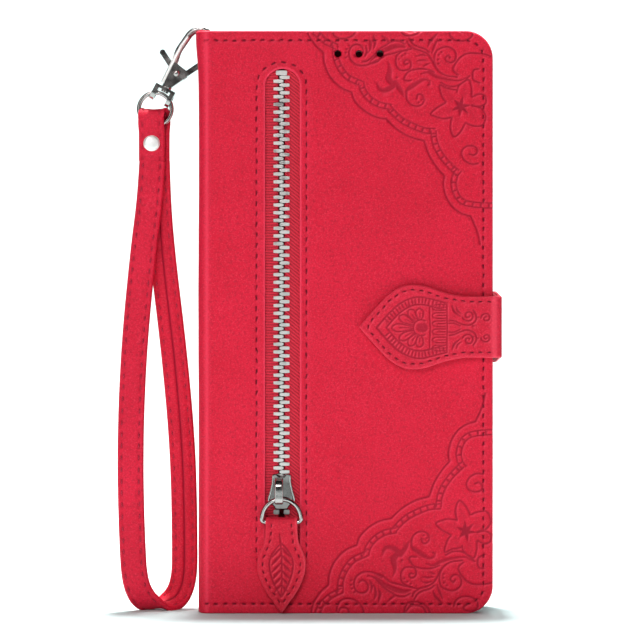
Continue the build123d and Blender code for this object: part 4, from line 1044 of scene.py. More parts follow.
def full_corner(p):
    """The spine stands fuller at its top."""
    return 0.75 * np.exp(-(((p[:, 1] - 167) / 8) ** 2)) * np.clip((fold_x + 0.5 - p[:, 0]) / 2.5, 0, 1)


def front_lift(p):
    """Slow waves that die out at the edges, a raised lip round the zip and the full corner."""
    lip = np.maximum(slot_shape(p, *ZIP_WINDOW), 0)
    waves = front_waves(p) * np.clip(-cover_edge(p) / 4, 0, 1)
    return waves + 0.22 * np.exp(-((lip / 0.9) ** 2)) + full_corner(p)


def front_highlights(p):
    """Painted highlights on the zip's lip, where the spine bends and along the cover's edge."""
    lip = slot_shape(p, *ZIP_WINDOW)
    on_lip = 0.9 * np.exp(-(((lip - 0.15) / 0.28) ** 2))
    ridge = 0.5 * np.exp(-(((p[:, 0] - fold_x + 0.75) / 0.6) ** 2))
    return np.maximum.reduce([on_lip, ridge, 0.3 * np.exp(-((cover_edge(p) / 0.35) ** 2))])


front_bm = cut_sheet((spine_end, 0), (free_edge, case_height), 1.2, front_outline, front_marks, front_place,
                     roll=front_roll, lift=front_lift, highlight_at=front_highlights, cuts=arc_cuts)
front_wrap = finish_piece(front_bm, "front_cover_leather", LEATHER, None)
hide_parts("front_leather", "spine_leather")
front_sewing = sew_threads("front_stitches", border_stitches, BORDER_STITCH, front_place, sunk=0.22)
for piece in (front_wrap, front_sewing):
    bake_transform(piece)
sew_threads("zip_stitches", zip_stitches, ZIP_STITCH, front_place, "front_cover")


# Back cover and the rear half of the spine
def back_outline(p):
    return less(cover_shape(p, spine_end), camera_window(p), slot_shape(p, spine_end, *CLIP_SLOT))


def back_roll(p):
    return less(cover_edge(p), camera_window(p))


back_place = over_fold(front_face, fold_x, fold_radius, -1, mirror=middle)
back_marks = Marks()
back_stitches = back_marks.seam(front_border, COVER_PITCH, 13, COVER_STITCH)
frame_line = [(CAMERA_X + 18.2 * math.copysign(min(1, abs(math.cos(t)) * 1.28), math.cos(t)),
               CAMERA_Z + 19.2 * math.copysign(min(1, abs(math.sin(t)) * 1.28), math.sin(t)))
              for t in np.radians(np.arange(0, 361, 6))]
back_marks.press(frame_line, 0.22, 0.2)
back_marks.settle()
back_waves = soft_waves(0.05, 8)


def back_lift(p):
    return back_waves(p) * np.clip(-cover_edge(p) / 4, 0, 1) + full_corner(p)


back_bm = cut_sheet((spine_end, 0), (free_edge, case_height), 1.8, back_outline, back_marks, back_place,
                    roll=back_roll, lift=back_lift, cuts=arc_cuts)
back_wrap = finish_piece(back_bm, "back_cover_leather", LEATHER, None)
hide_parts("back_leather")
back_sewing = sew_threads("back_stitches", back_stitches, COVER_STITCH, back_place)
for piece in (back_wrap, back_sewing):
    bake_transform(piece)

# Clasp strap: tab, side and heel, one band round the free edge
NECK_HALF, HEEL_HALF = 8.85, 10.5
TAB_HALF = [  # (from the tip, half width)
    (0, 0.0), (3.6, 3.95), (7.2, 7.7), (9.5, 9.75), (12, 11.25), (14, 11.95), (16.1, 12.2), (18.5, 12.05),
    (21, 11.5), (25, 10.2), (28.5, 9.3), (32.5, NECK_HALF), (38, NECK_HALF), (40.5, NECK_HALF),
]
tab_fine = flowing(TAB_HALF, 0.3)
side_span = side_back - side_front
TIP_CUT = 1.1  # how much shorter the tab's skin is than its solid
TIP_REACH = 26.4  # the length over which the tab is drawn in


def from_tip(d):
    """The tab's own length, drawn in towards its tip."""
    return d + TIP_CUT * np.maximum(0, 1 - d / TIP_REACH)


def tab_half(s):
    """Half width of the clasp strap along its length, from the tab's tip round to its heel."""
    along_side = s - clasp_fold_x
    side_half = NECK_HALF + (HEEL_HALF - NECK_HALF) * np.clip((along_side - 2.0) / (side_span - 2.4), 0, 1)
    front_half = np.interp(s - tab_tip, from_tip(tab_fine[:, 0]), tab_fine[:, 1])
    return np.where(along_side > 0, side_half, front_half)


def tab_slope(s):
    return (tab_half(s + 0.05) - tab_half(s - 0.05)) / 0.1


def tab_sides(p):
    """Distance to the clasp's long edges."""
    lean = 1 / np.sqrt(1 + np.clip(tab_slope(p[:, 0]), -1.2, 1.2) ** 2)
    return (np.abs(p[:, 1] - clasp_z) - tab_half(p[:, 0])) * lean


def tab_roll(p):
    return np.maximum(tab_sides(p), tab_tip + TIP_CUT - p[:, 0])


def tab_outline(p):
    return np.maximum(tab_roll(p), p[:, 0] - clasp_end)


def tab_line(inset, first, last):
    """A line this far inside the tab's edge, from the side round the tip and back."""
    s = np.arange(first, last, 0.5)
    reach = tab_half(s) - inset * np.sqrt(1 + tab_slope(s) ** 2)
    keep = reach > 0.25
    upper = [(x, clasp_z + h) for x, h in zip(s[keep], reach[keep])]
    lower = [(x, clasp_z - h) for x, h in zip(s[keep], reach[keep])]
    return upper[::-1] + lower


# The tab's ornament; points are (from the tip, off the middle line)
ARCH_OUT = [
    (5.4, 0.0), (7.3, 2.2), (9.5, 4.5), (12.5, 7.0), (15.6, 8.4), (18.7, 8.8), (21.7, 8.2), (26.3, 7.1),
]
ARCH_IN = [(8.3, 0.0), (10.4, 2.4), (12.5, 4.4), (15.6, 6.2), (18.7, 6.7), (21.7, 6.1), (26.0, 5.0)]
FAN_AT = 18.7
FAN = ((0, 8.8), (27, 7.3), (55, 6.3), (84, 5.6))  # each petal's angle off the middle, and its length
TAB_RUNGS, RUNG_PITCH = 6, 2.34
TAB_TENDRIL = [(27.2, 2.2), (28.6, 1.9), (30.2, 1.2), (32.4, 0.7), (34.4, 1.6), (34.9, 3.4), (34.0, 5.0)]


def press_arch(put, side):
    """One half of the arch, with rungs between its two lines."""
    put([(d, h * side) for d, h in ARCH_OUT], half=0.24)
    put([(d, h * side) for d, h in ARCH_IN], half=0.24)
    inner = flowing(ARCH_IN, 0.2)
    for x, h, _ in along_line(ARCH_OUT[1:], 1.12):
        gap = inner - (x, h)
        nearest = inner[np.argmin(np.hypot(gap[:, 0], gap[:, 1]))]
        ends = [(x + (nearest[0] - x) * t, (h + (nearest[1] - h) * t) * side) for t in (0.16, 0.8)]
        put(ends, half=0.2)


def press_fan(put, side):
    """Half of the fan's petals, each with a rib."""
    centre = np.array([FAN_AT, 0.0])
    for turn_at, reach in FAN:
        t = math.radians(180 - turn_at * side)
        way, across = np.array([math.cos(t), math.sin(t)]), np.array([-math.sin(t), math.cos(t)])
        rows = ((2.3, 0.3), (reach * 0.6, 0.95), (reach * 0.85, 1.05), (reach, 0.0), (reach * 0.85, -1.05),
                (reach * 0.6, -0.95), (2.3, -0.3))
        put([centre + way * r + across * w for r, w in rows], half=0.2, depth=0.26)
        put([centre + way * 3.0, centre + way * reach * 0.72], half=0.16, depth=0.22)


def press_scrolls(put, side):
    """The scrolls, leaves and dots on one side of the tab's neck."""
    put(curl((32.6, 3.5 * side), 1.75, 1.35, 200 * side, 0.2, side), half=0.24)
    put([(d, h * side) for d, h in TAB_TENDRIL], half=0.24)
    put([(26.9, 1.2 * side), (28.4, 1.3 * side), (30.2, 0.5 * side)], half=0.2)
    put([(27.9, 6.4 * side, 0.12), (28.5, 4.8 * side, 0.34), (30.2, 3.2 * side, 0.1)])
    put([(29.2, 6.0 * side, 0.1), (29.5, 4.9 * side, 0.26), (30.6, 4.0 * side, 0.1)])
    put(curl((37.7, 2.8 * side), 1.45, 1.3, 180 * side, 0.2, -side), half=0.22)
    put([(33.8, 3.2 * side + 0.6, 0.28), (33.9, 3.2 * side + 0.6, 0.28)])
    put([(35.3, 3.0 * side, 0.24), (35.4, 3.0 * side, 0.24)])


def press_tab(marks):
    """The tab's ornament: an arch with rungs, a fan of petals, a ladder and two pairs of scrolls."""

    def put(points, **how):
        rows = [(tab_tip + from_tip(row[0]), clasp_z - 0.15 + row[1], *row[2:]) for row in points]
        marks.press(rows, **how)

    for side in (1, -1):
        press_arch(put, side)
        press_fan(put, side)
        press_scrolls(put, side)
    put([(33.9, 0.55, 0.3), (34.0, 0.55, 0.3)])
    put(arc_line((FAN_AT, 0), 2.3, 60, 300), half=0.2)
    put([(FAN_AT, 0, 1.3), (FAN_AT + 0.7, 0, 1.3)], depth=0.16, kind="broad")
    put([(21.3, 6.0), (21.3, 3.0), (21.5, 0), (21.3, -3.0), (21.3, -6.0)], half=0.18)
    put([(26.4, 7.1), (26.5, 0), (26.4, -7.1)], half=0.2)
    for k in range(TAB_RUNGS):
        h = 5.85 - RUNG_PITCH * k
        put([(25.9, h + 0.8), (23.4, h + 0.8), (22.4, h + 0.5), (22.1, h), (22.4, h - 0.5), (23.4, h - 0.8),
             (25.9, h - 0.8)], half=0.18)
        put([(23.6, h), (25.9, h)], half=0.18)


tab_marks = Marks()
press_tab(tab_marks)
CLASP_INSET, CLASP_PITCH, CLASP_STITCH = 1.55, 2.5, 1.1  # the clasp's seam from its edge, and its stitches
tab_seam = tab_line(CLASP_INSET, tab_tip + TIP_CUT + 0.2, clasp_fold_x - 0.6)
tab_stitches = tab_marks.seam(tab_seam, CLASP_PITCH, 14, CLASP_STITCH, SHALLOW)
tab_marks.settle()
tab_place = over_fold(side_front, clasp_fold_x, clasp_round, 1)
clasp_cuts = [clasp_fold_x + clasp_round * math.pi / 2 * k / 6 for k in range(0, 7)]


def tab_highlights(p):
    """Painted highlight along the cut edge and where the clasp bends round the side."""
    edge = 0.42 * np.exp(-((tab_outline(p) / 0.38) ** 2))
    return np.maximum(edge, 0.55 * np.exp(-(((p[:, 0] - clasp_fold_x + 0.5) / 0.8) ** 2)))


tab_bm = cut_sheet((tab_tip, clasp_z - 12.6), (clasp_end, clasp_z + 12.6), 1.0, tab_outline, tab_marks,
                   tab_place, roll=tab_roll, lift=soft_waves(0.03, 5), cuts=clasp_cuts, highlight_at=tab_highlights)
tab = finish_piece(tab_bm, "clasp_tab_skin", CLASP_LEATHER, None)
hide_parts("clasp_tab_leather", "clasp_side_leather")
tab_sewing = sew_threads("clasp_stitches", tab_stitches, CLASP_STITCH, tab_place, None, 0.18)
for piece in (tab, tab_sewing):
    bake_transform(piece)

# Clasp heel, glued to the back cover
heel_start = box_mm("clasp_anchor")[0][0]


def heel_roll(p):
    """The heel, as wide as the clasp where it turns up the side."""
    half = np.where(p[:, 0] > clasp_fold_x, tab_half(2 * clasp_end - p[:, 0]), HEEL_HALF)
    block = bar(p, (heel_start, clasp_z - HEEL_HALF), (clasp_end + 9, clasp_z + HEEL_HALF), left=4.0)
    return np.maximum(block, np.abs(p[:, 1] - clasp_z) - half)


def heel_outline(p):
    return np.maximum(heel_roll(p), p[:, 0] - clasp_end)


heel_place = over_fold(side_front, clasp_fold_x, clasp_round, 1, mirror=clasp_middle)
HEEL_SEAM = [(40.4, 8.7), (31.0, 8.7), (29.4, 7.2), (29.1, 5.0)]  # one half, above the middle line
heel_seam = [(x, clasp_z + h) for x, h in HEEL_SEAM] + [(x, clasp_z - h) for x, h in reversed(HEEL_SEAM)]
heel_seam.append(heel_seam[0])
heel_marks = Marks()
heel_stitches = heel_marks.seam(heel_seam, CLASP_PITCH, 15, CLASP_STITCH, SHALLOW)
heel_marks.settle()
heel_bm = cut_sheet((heel_start, clasp_z - 10.8), (clasp_end, clasp_z + 10.8), 1.2, heel_outline, heel_marks,
                    heel_place, roll=heel_roll, lift=soft_waves(0.03, 6), cuts=clasp_cuts)
heel = finish_piece(heel_bm, "clasp_heel_skin", CLASP_LEATHER, None)
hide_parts("clasp_anchor")
sew_threads("heel_stitches", heel_stitches, CLASP_STITCH, heel_place, "back", 0.18)
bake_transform(heel)

# Leaf-shaped puller of two leather layers, folded over the ring's bar
leaf_low, leaf_high = box_mm("leaf_front")
leaf_x, leaf_top = (leaf_low[0] + leaf_high[0]) / 2, leaf_high[2]
WRAP = 1.5  # radius of the leather's outer side round the ring's bar
bar_z = leaf_top - WRAP
bar_y = leaf_low[1] + WRAP
LEAF_HALF = [  # (down from the top, half width)
    (0, 4.5), (3.0, 4.6), (5.8, 4.75), (7.6, 5.1), (9.4, 5.9), (11.4, 6.7), (13.6, 7.05), (16.0, 6.8),
    (19.0, 5.75), (21.6, 4.4), (24.6, 2.35), (26.4, 1.05), (27.7, 0.0),
]
leaf_fine = flowing(LEAF_HALF, 0.3)
LEAF_INSET, LEAF_PITCH, LEAF_STITCH = 1.6, 2.35, 1.05


def leaf_half(z):
    return np.interp(leaf_top - z, leaf_fine[:, 0], leaf_fine[:, 1])


def leaf_slope(z):
    return (leaf_half(z + 0.05) - leaf_half(z - 0.05)) / 0.1


def leaf_outline_to(top):
    """The leaf's outline, cut off level at the top."""

    def outline(p):
        z = p[:, 1]
        lean = 1 / np.sqrt(1 + np.clip(leaf_slope(z), -1.2, 1.2) ** 2)
        sides = (np.abs(p[:, 0] - leaf_x) - leaf_half(z)) * lean
        return np.maximum(sides, np.maximum(z - top, leaf_low[2] - z))

    return outline


LEAF_RUN = [  # (z, how far in front of the bar's middle line), up to the bar
    (leaf_low[2], -0.1), (18.0, -0.1), (20.6, -0.2), (22.6, -0.65), (24.6, -1.2), (bar_z, -WRAP),
]
leaf_run = flowing(LEAF_RUN, 0.4)


def leaf_front_place(p, height):
    """Flat below, rising over the bar, then round it to the back."""
    z = p[:, 1]
    y = np.interp(z, leaf_run[:, 0], leaf_run[:, 1])
    turn = np.clip((z - bar_z) / WRAP, 0, math.pi)
    up = z > bar_z
    out_y = np.where(up, -(WRAP + height) * np.cos(turn), y - height)
    out_z = np.where(up, bar_z + (WRAP + height) * np.sin(turn), z)
    return np.column_stack([p[:, 0], bar_y + out_y, out_z])


leaf_seam = []
for side in (1, -1):
    z = np.arange(leaf_top - 1.2, leaf_low[2] + 0.5, -0.4)
    reach = leaf_half(z) - LEAF_INSET * np.sqrt(1 + leaf_slope(z) ** 2)
    keep = reach > 0.1
    part = [(leaf_x + side * h, zz) for h, zz in zip(reach[keep], z[keep])]
    leaf_seam += part if side == 1 else part[::-1]
leaf_marks = Marks()
leaf_stitches = leaf_marks.seam(leaf_seam, LEAF_PITCH, 16, LEAF_STITCH, (0.2, 0.1))


# The pressed leaf: its border, veins and stalk; points are (off the middle, down from the top)
LEAF_BORDER = [(0, 7.6), (1.4, 9.0), (2.9, 11.4), (3.4, 13.6), (2.9, 16.8), (1.6, 20.2), (0.1, 22.9)]
LEAF_STALK = [(-0.5, 5.0, 0.2), (-0.2, 7.6, 0.26), (0.1, 12.0, 0.24), (0.15, 18.0, 0.22), (0.1, 22.7, 0.15)]
VEINS, VEIN_PITCH, VEIN_TOP = 6, 2.15, 8.9


def put_leaf(points, **how):
    leaf_marks.press([(leaf_x + row[0], leaf_top - row[1], *row[2:]) for row in points], **how)


for side in (1, -1):
    put_leaf([(x * side, down) for x, down in LEAF_BORDER], half=0.24)
    for k in range(VEINS):
        top = VEIN_TOP + VEIN_PITCH * k
        reach = min(2.75, 3.1 - abs(top - 11.5) * 0.16)
        put_leaf([(0.15 * side, top, 0.2), (reach * 0.55 * side, top + reach * 0.52, 0.34),
                  (reach * side, top + reach, 0.16)], depth=0.34)
put_leaf(LEAF_STALK, depth=0.34)
leaf_marks.settle()
plain_marks = Marks().settle()  # nothing pressed
fold_end = bar_z + WRAP * math.pi
leaf_front_outline = leaf_outline_to(fold_end)


def leaf_edge_highlight(p):
    """Painted highlight along the cut edge, stronger on its right side."""
    return np.where(p[:, 0] > leaf_x, 1.0, 0.3) * np.exp(-((leaf_front_outline(p) / 0.42) ** 2))


leaf_bm = cut_sheet((leaf_x - 7.4, leaf_low[2]), (leaf_x + 7.4, fold_end), 0.9, leaf_front_outline,
                    leaf_marks, leaf_front_place, rim=((0, -0.8),), rolled=0.4, highlight_at=leaf_edge_highlight)
leaf_skin = finish_piece(leaf_bm, "leaf_front_skin", LEAF_LEATHER, "leaf_pull")
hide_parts("leaf_front")
sew_threads("leaf_stitches", leaf_stitches, LEAF_STITCH, leaf_front_place, "leaf_pull", 0.17)
leaf_back_bm = cut_sheet((leaf_x - 7.4, leaf_low[2]), (leaf_x + 7.4, bar_z), 1.0, leaf_outline_to(bar_z),
                         plain_marks, facing(bar_y + WRAP, 1), rim=((0, -0.8),), rolled=0.4)
leaf_back = finish_piece(leaf_back_bm, "leaf_back_skin", LEAF_LEATHER, "leaf_pull")
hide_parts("leaf_back")

# Zip slider: a crowned plate flaring to its mouths, a plain back plate and the bridge that holds the ring
slider_low, slider_high = box_mm("zip_slider")
SLIDER_HALF = [  # (down from the top, half width)
    (0, 2.35), (0.5, 2.7), (1.6, 2.72), (2.8, 2.85), (5.0, 3.35), (6.8, 3.85), (7.6, 3.8), (8.3, 3.1),
    (9.3, 2.2), (10.2, 1.7),
]
slider_fine = flowing(SLIDER_HALF, 0.1)


def slider_outline(p):
    down = slider_high[2] - p[:, 1]
    half = np.interp(down, slider_fine[:, 0], slider_fine[:, 1])
    notch = 0.55 * np.exp(-(((p[:, 0] - zip_x) / 0.9) ** 2))
    return np.maximum(np.abs(p[:, 0] - zip_x) - half, np.maximum(notch - down, slider_low[2] - p[:, 1]))


def slider_crown(p):
    """The plate falls away to its sides, with raised ears at the top and a dip at the mouth."""
    off = (p[:, 0] - zip_x) / 3.9
    down = slider_high[2] - p[:, 1]
    ears = 0.28 * np.exp(-((down / 1.0) ** 2)) * np.clip(np.abs(off) * 2, 0, 1)
    mouth = 0.5 * np.exp(-(((down - 10.2) / 1.6) ** 2))
    return 0.1 - 0.55 * off**2 + ears - mouth * 0.6


SLIDER_PLATES = (
    ("slider_plate", slider_low[1] + 2.55, -1, slider_crown),
    ("slider_back", slider_high[1], 1, None),
)
for name, at, side, lift in SLIDER_PLATES:
    plate_bm = cut_sheet((zip_x - 4, slider_low[2]), (zip_x + 4, slider_high[2]), 0.5, slider_outline,
                         plain_marks, facing(at, side), rim=((0, -0.85),), levels=1, rolled=0.28, lift=lift)
    plate = finish_piece(plate_bm, name, SLIDER_METAL, "slider")
    if side < 0:
        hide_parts("zip_slider")
BRIDGE = [  # (y, z) from the plate's top, over the ring and back
    (-8.75, 38.9), (-9.3, 38.8), (-10.3, 38.0), (-10.95, 37.0), (-11.12, 36.0), (-11.15, 34.4),
    (-11.15, 32.9), (-10.95, 32.2), (-10.4, 31.98), (-9.6, 31.95), (-8.75, 31.95),
]
BRIDGE_WIDTH, BRIDGE_THICK = 2.35, 0.75
bridge_line = np.array([(zip_x - 0.7, y, z) for y, z in flowing(BRIDGE, 0.2)])
bridge_bm = metal_band(bridge_line, 0.25, BRIDGE_WIDTH, BRIDGE_THICK, corner=0.3)
finish_piece(bridge_bm, "slider_bridge", NICKEL, "slider")
WALL_THICK, WALL_DEEP = 0.5, 1.3
wall_side = [(d, h - WALL_THICK / 2) for d, h in slider_fine if 0.3 < d < 8.2]
for side, name in ((-1, "slider_wall_left"), (1, "slider_wall_right")):
    wall = np.array([(zip_x + side * h, slider_low[1] + 3.1, slider_high[2] - d) for d, h in wall_side])
    wall_bm = metal_band(wall, 0.4, WALL_THICK, WALL_DEEP, corner=0.2, around=16)
    finish_piece(wall_bm, name, NICKEL, "slider")

# Zip tapes, woven, with a thicker corded edge under the teeth
RIB_PITCH = 0.62
for side, name, finish in ((-1, "zip_tape_left", TAPE_RIBS), (1, "zip_tape_right", TAPE_TWILL)):
    low, high = box_mm(name)
    inner = high[0] if side < 0 else low[0]

    def tape_lift(p, inner=inner):
        near = np.abs(p[:, 0] - inner)
        ripple = 0.035 * np.sin(p[:, 1] * 2 * math.pi / RIB_PITCH)
        return ripple - 0.04 + 0.1 * np.exp(-(((near - 0.55) / 0.5) ** 2))

    tape_bm = cut_sheet((low[0], low[2]), (high[0], high[2]), RIB_PITCH / 2, front_view(low, high),
                        plain_marks, facing(low[1]), rim=((0, -0.4),), levels=0, rolled=0.12,
                        lift=tape_lift, uv=True)
    tape = finish_piece(tape_bm, name + "_cloth", finish, "front_cover")
    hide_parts(name)

# Clip: the wire runs on in front of the plate down to the collar; a domed pin holds the gate
clip_low, clip_high = box_mm("hook")
clip_front, wire_middle = clip_low[1], (clip_low[1] + clip_high[1]) / 2
WIRE, BAR_WIDTH = 2.03, 1.3  # how thick each is
wire_route = rounded_route(((-51.9, 157.0), (-49.95, 163.2), (-45.75, 169.35), (-43.2, 169.34)), (8.0, 4.0))
wire_line = np.column_stack([wire_route[:, 0], np.full(len(wire_route), wire_middle), wire_route[:, 1]])
wire_bm = metal_band(wire_line, 0.2, WIRE, WIRE, corner=1.01, around=40)
finish_piece(wire_bm, "clip_wire", WIRE_METAL, "clip")
BAR_ROUTE = [  # x, how far behind the clip's front, z
    (-47.1, 1.12, 167.1), (-48.1, 1.05, 165.7), (-49.1, 1.0, 164.3), (-50.1, 0.75, 162.3),
    (-51.1, 0.55, 160.4), (-51.9, 0.55, 158.9), (-53.5, 0.55, 155.7), (-54.4, 0.55, 153.9),
]
bar_line = np.array([(x, clip_front + y, z) for x, y, z in BAR_ROUTE])
bar_bm = metal_band(bar_line, 0.4, BAR_WIDTH, BAR_WIDTH, corner=0.62)
finish_piece(bar_bm, "clip_bar", RIVET_METAL, "clip")
pin_low, pin_high = box_mm("gate_pin")
pin_bm = bmesh.new()
for y in (pin_low[1] + 0.25, pin_high[1] - 0.25):
    at = (pin_low[0] + pin_high[0]) / 2, y, (pin_low[2] + pin_high[2]) / 2
    add_dome(pin_bm, at, 0.95, 0.5, (24, 14))
finish_piece(pin_bm, "gate_pin_heads", NICKEL, "clip")

# Rivet caps: a flat rim and a dome on the front, a plain dome behind
rivet_low, rivet_high = box_mm("strap_rivet")
rivet_x, rivet_z = (rivet_low[0] + rivet_high[0]) / 2 - 0.95, (rivet_low[2] + rivet_high[2]) / 2 + 0.5
rivet_bm = bmesh.new()
for y, radius, depth in ((-0.75, 2.42, 0.42), (-1.0, 2.15, 0.5), (3.35, 2.3, 0.85)):
    add_dome(rivet_bm, (rivet_x, y, rivet_z), radius, depth, (40, 24))
rivet = finish_piece(rivet_bm, "rivet_caps", RIVET_METAL, "strap")
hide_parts("strap_rivet")

# Inside of the covers: linings turned up at their edges and sewn round
inner_low, inner_high = box_mm("front_lining")
tray_low, tray_high = box_mm("back_lining")
inner_border = [(max(x, cover_low[0] + 0.8), z) for x, z in front_border]
LINING_THICK = 0.5


def inner_edge(p):
    return cover_shape(p, cover_low[0])


def front_inside(p):
    return less(inner_edge(p), speaker_holes(p))


def back_inside(p):
    return less(inner_edge(p), camera_window(p))


def at_edge(q):
    """Where a point lies at the cover's own edge and not at a hole."""
    return np.abs(inner_edge(q)) < 0.5


def tray_rim(deep):
    """The lining's turned border, 3 mm wide, and its thin sheet within."""

    def down_at_edge(q):
        return np.where(at_edge(q), -deep, -LINING_THICK)

    def down_on_border(q):
        return np.where(at_edge(q) | (inner_edge(q) > -4.0), -deep, -LINING_THICK)

    return (0, down_at_edge), (lambda q: 3.0 * at_edge(q), down_on_border), (0, -LINING_THICK)


for name, body, outline, face, side, deep, seed in (
        ("front_inside", "front_cover", front_inside, inner_high[1], 1, inner_high[1] - inner_low[1], 21),
        ("back_inside", "back", back_inside, tray_low[1], -1, tray_high[1] - tray_low[1], 22)):
    marks = Marks()
    stitches = marks.seam(inner_border, COVER_PITCH, seed, COVER_STITCH, SHALLOW, depth=0.3)
    marks.settle()
    inside_bm = cut_sheet((cover_low[0], 0), (free_edge, case_height), 2.0, outline, marks,
                          facing(face, side), rim=tray_rim(deep), rolled=0.35)
    inside = finish_piece(inside_bm, name, LINING, body)
    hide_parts("front_lining" if side > 0 else "back_lining")
    sew_threads(name + "_stitches", stitches, COVER_STITCH, facing(face, side), body)

# Lining of the spine, a channel open to the inside
channel_low, channel_high = box_mm("spine_lining")
channel_round = 1.8
channel_arc = channel_round * math.pi / 2
channel_flat = channel_high[1] - channel_low[1] - 2 * (channel_round + LINING_THICK)
channel_length = channel_flat + 2 * channel_arc


def channel_place(p, height):
    """Round the first corner, straight across and round the second."""
    s = p[:, 0]
    near = channel_low[1] + channel_round + LINING_THICK
    far = channel_high[1] - channel_round - LINING_THICK
    turned_back = np.clip((s - channel_arc - channel_flat) / channel_round, 0, math.pi / 2)
    turn = np.clip(s / channel_round, 0, math.pi / 2) - turned_back
    first_half = s < channel_arc + channel_flat / 2
    middle_y = np.where(first_half, near, far)
    sign = np.where(first_half, -1, 1)
    r = channel_round - height
    straight = (s > channel_arc) & (s < channel_arc + channel_flat)
    y = np.where(straight, near + s - channel_arc, middle_y + sign * r * np.cos(turn))
    return np.column_stack([channel_high[0] - r * np.sin(turn), y, p[:, 1]])


def channel_outline(p):
    whole = bar(p, (0, 0), (channel_length, case_height))
    return less(whole, slot_shape(p, channel_length / 2, *CLIP_SLOT))


channel_cuts = [channel_arc * k / 5 for k in range(1, 6)]
channel_cuts += [channel_length - cut for cut in channel_cuts]
channel_bm = cut_sheet((0, 0), (channel_length, case_height), 2.4, channel_outline, plain_marks,
                       channel_place, rim=((0, -LINING_THICK),), rolled=0.2, cuts=channel_cuts)
channel = finish_piece(channel_bm, "spine_inside", LINING, "spine")
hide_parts("spine_lining")

# Linings of the clasp strap
tab_in_low, tab_in_high = box_mm("clasp_tab_lining")


def tab_inside(p):
    ends = np.maximum(tab_in_low[0] + TIP_CUT - p[:, 0], p[:, 0] - tab_in_high[0])
    return np.maximum(tab_sides(p) + 0.3, ends)


tab_in_seam = tab_line(CLASP_INSET, tab_tip + TIP_CUT + 0.2, tab_in_high[0] - 1.4)
tab_in_marks = Marks()
tab_in_stitches = tab_in_marks.seam(tab_in_seam, CLASP_PITCH, 23, CLASP_STITCH, SHALLOW, depth=0.3)
magnet_low, magnet_high = box_mm("clasp_magnet")
magnet_x = (magnet_low[0] + magnet_high[0]) / 2
turns = np.radians(np.arange(0, 361, 12))
magnet_mark = [(magnet_x + 7.2 * math.cos(t), clasp_z + 5.2 * math.sin(t)) for t in turns]
tab_in_marks.press(magnet_mark, 0.3, 0.12)
tab_in_marks.settle()
tab_in_place = facing(tab_in_high[1], 1)
tab_in_bm = cut_sheet((tab_in_low[0], clasp_z - 12.4), (tab_in_high[0], clasp_z + 12.4), 1.2, tab_inside,
                      tab_in_marks, tab_in_place, rim=((0, tab_in_low[1] - tab_in_high[1]),), rolled=0.4)
tab_in = finish_piece(tab_in_bm, "clasp_tab_inside", LINING, "clasp_tab")
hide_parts("clasp_tab_lining")
sew_threads("clasp_tab_inside_stitches", tab_in_stitches, CLASP_STITCH, tab_in_place, "clasp_tab", 0.18)
side_in_low, side_in_high = box_mm("clasp_side_lining")
SIDE_IN_NECK, SIDE_IN_FLARE = 8.65, 1.65  # half width at the front, and what it gains towards the heel


def side_inside(p):
    half = SIDE_IN_NECK + SIDE_IN_FLARE * np.clip((p[:, 0] - side_front - 1) / 19.6, 0, 1)
    ends = np.maximum(side_in_low[1] - p[:, 0], p[:, 0] - side_in_high[1])
    return np.maximum(np.abs(p[:, 1] - clasp_z) - half, ends)


def side_in_place(p, height):
    return np.column_stack([side_in_low[0] - height, p[:, 0], p[:, 1]])


side_in_bm = cut_sheet((side_in_low[1], clasp_z - 10.6), (side_in_high[1], clasp_z + 10.6), 1.5, side_inside,
                       plain_marks, side_in_place, rim=((0, side_in_low[0] - side_in_high[0]),), rolled=0.4)
side_in = finish_piece(side_in_bm, "clasp_side_inside", LINING, "clasp_side")
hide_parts("clasp_side_lining")

# Card pockets, one over the other, each sewn down at its sides and foot
POCKET_STEP = 16  # how much lower each pocket's mouth is
for number in (1, 2, 3):
    low, high = box_mm(f"card_pocket_{number}")
    centre_x = (low[0] + high[0]) / 2
    next_top = high[2] - POCKET_STEP + 1.0 if number < 3 else low[2] + 1.5

    def pocket_outline(p, low=low, high=high, centre_x=centre_x):
        return less(front_view(low, high)(p), disc(p, centre_x, high[2], 9.0))

    mouth = [(low[0] + 1.4, high[2] - 1.4), (centre_x - 10.6, high[2] - 1.4)]
    mouth += arc_line((centre_x, high[2] - 0.4), 10.4, 187, 343, step=12)
    mouth += [(centre_x + 10.6, high[2] - 1.4), (high[0] - 1.4, high[2] - 1.4)]
    marks = Marks()
    marks.press(mouth, 0.22, 0.14, smooth=False)
    seams = [[(x, high[2] - 2.5), (x, next_top)] for x in (low[0] + 1.5, high[0] - 1.5)]
    if number == 3:
        seams.append([(low[0] + 2.5, low[2] + 1.5), (high[0] - 2.5, low[2] + 1.5)])
    stitches = []
    for k, seam in enumerate(seams):
        marks.press(seam, 0.22, 0.08, "valley", smooth=False)
        stitches += by_hand(along_line(seam, 2.7), 30 + number * 3 + k, shift=0.05)
    marks.sew(stitches, 1.1, depth=0.2)
    marks.settle()
    lie = facing(high[1], 1)
    pocket_bm = cut_sheet((low[0], low[2]), (high[0], high[2]), 1.8, pocket_outline, marks, lie,
                          rim=((0, low[1] - high[1]),), rolled=0.18)
    pocket = finish_piece(pocket_bm, f"card_slot_{number}", LINING, "front_cover")
    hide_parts(f"card_pocket_{number}")
    sew_threads(f"card_slot_{number}_stitches", stitches, 1.1, lie, "front_cover", 0.16, 0.08)

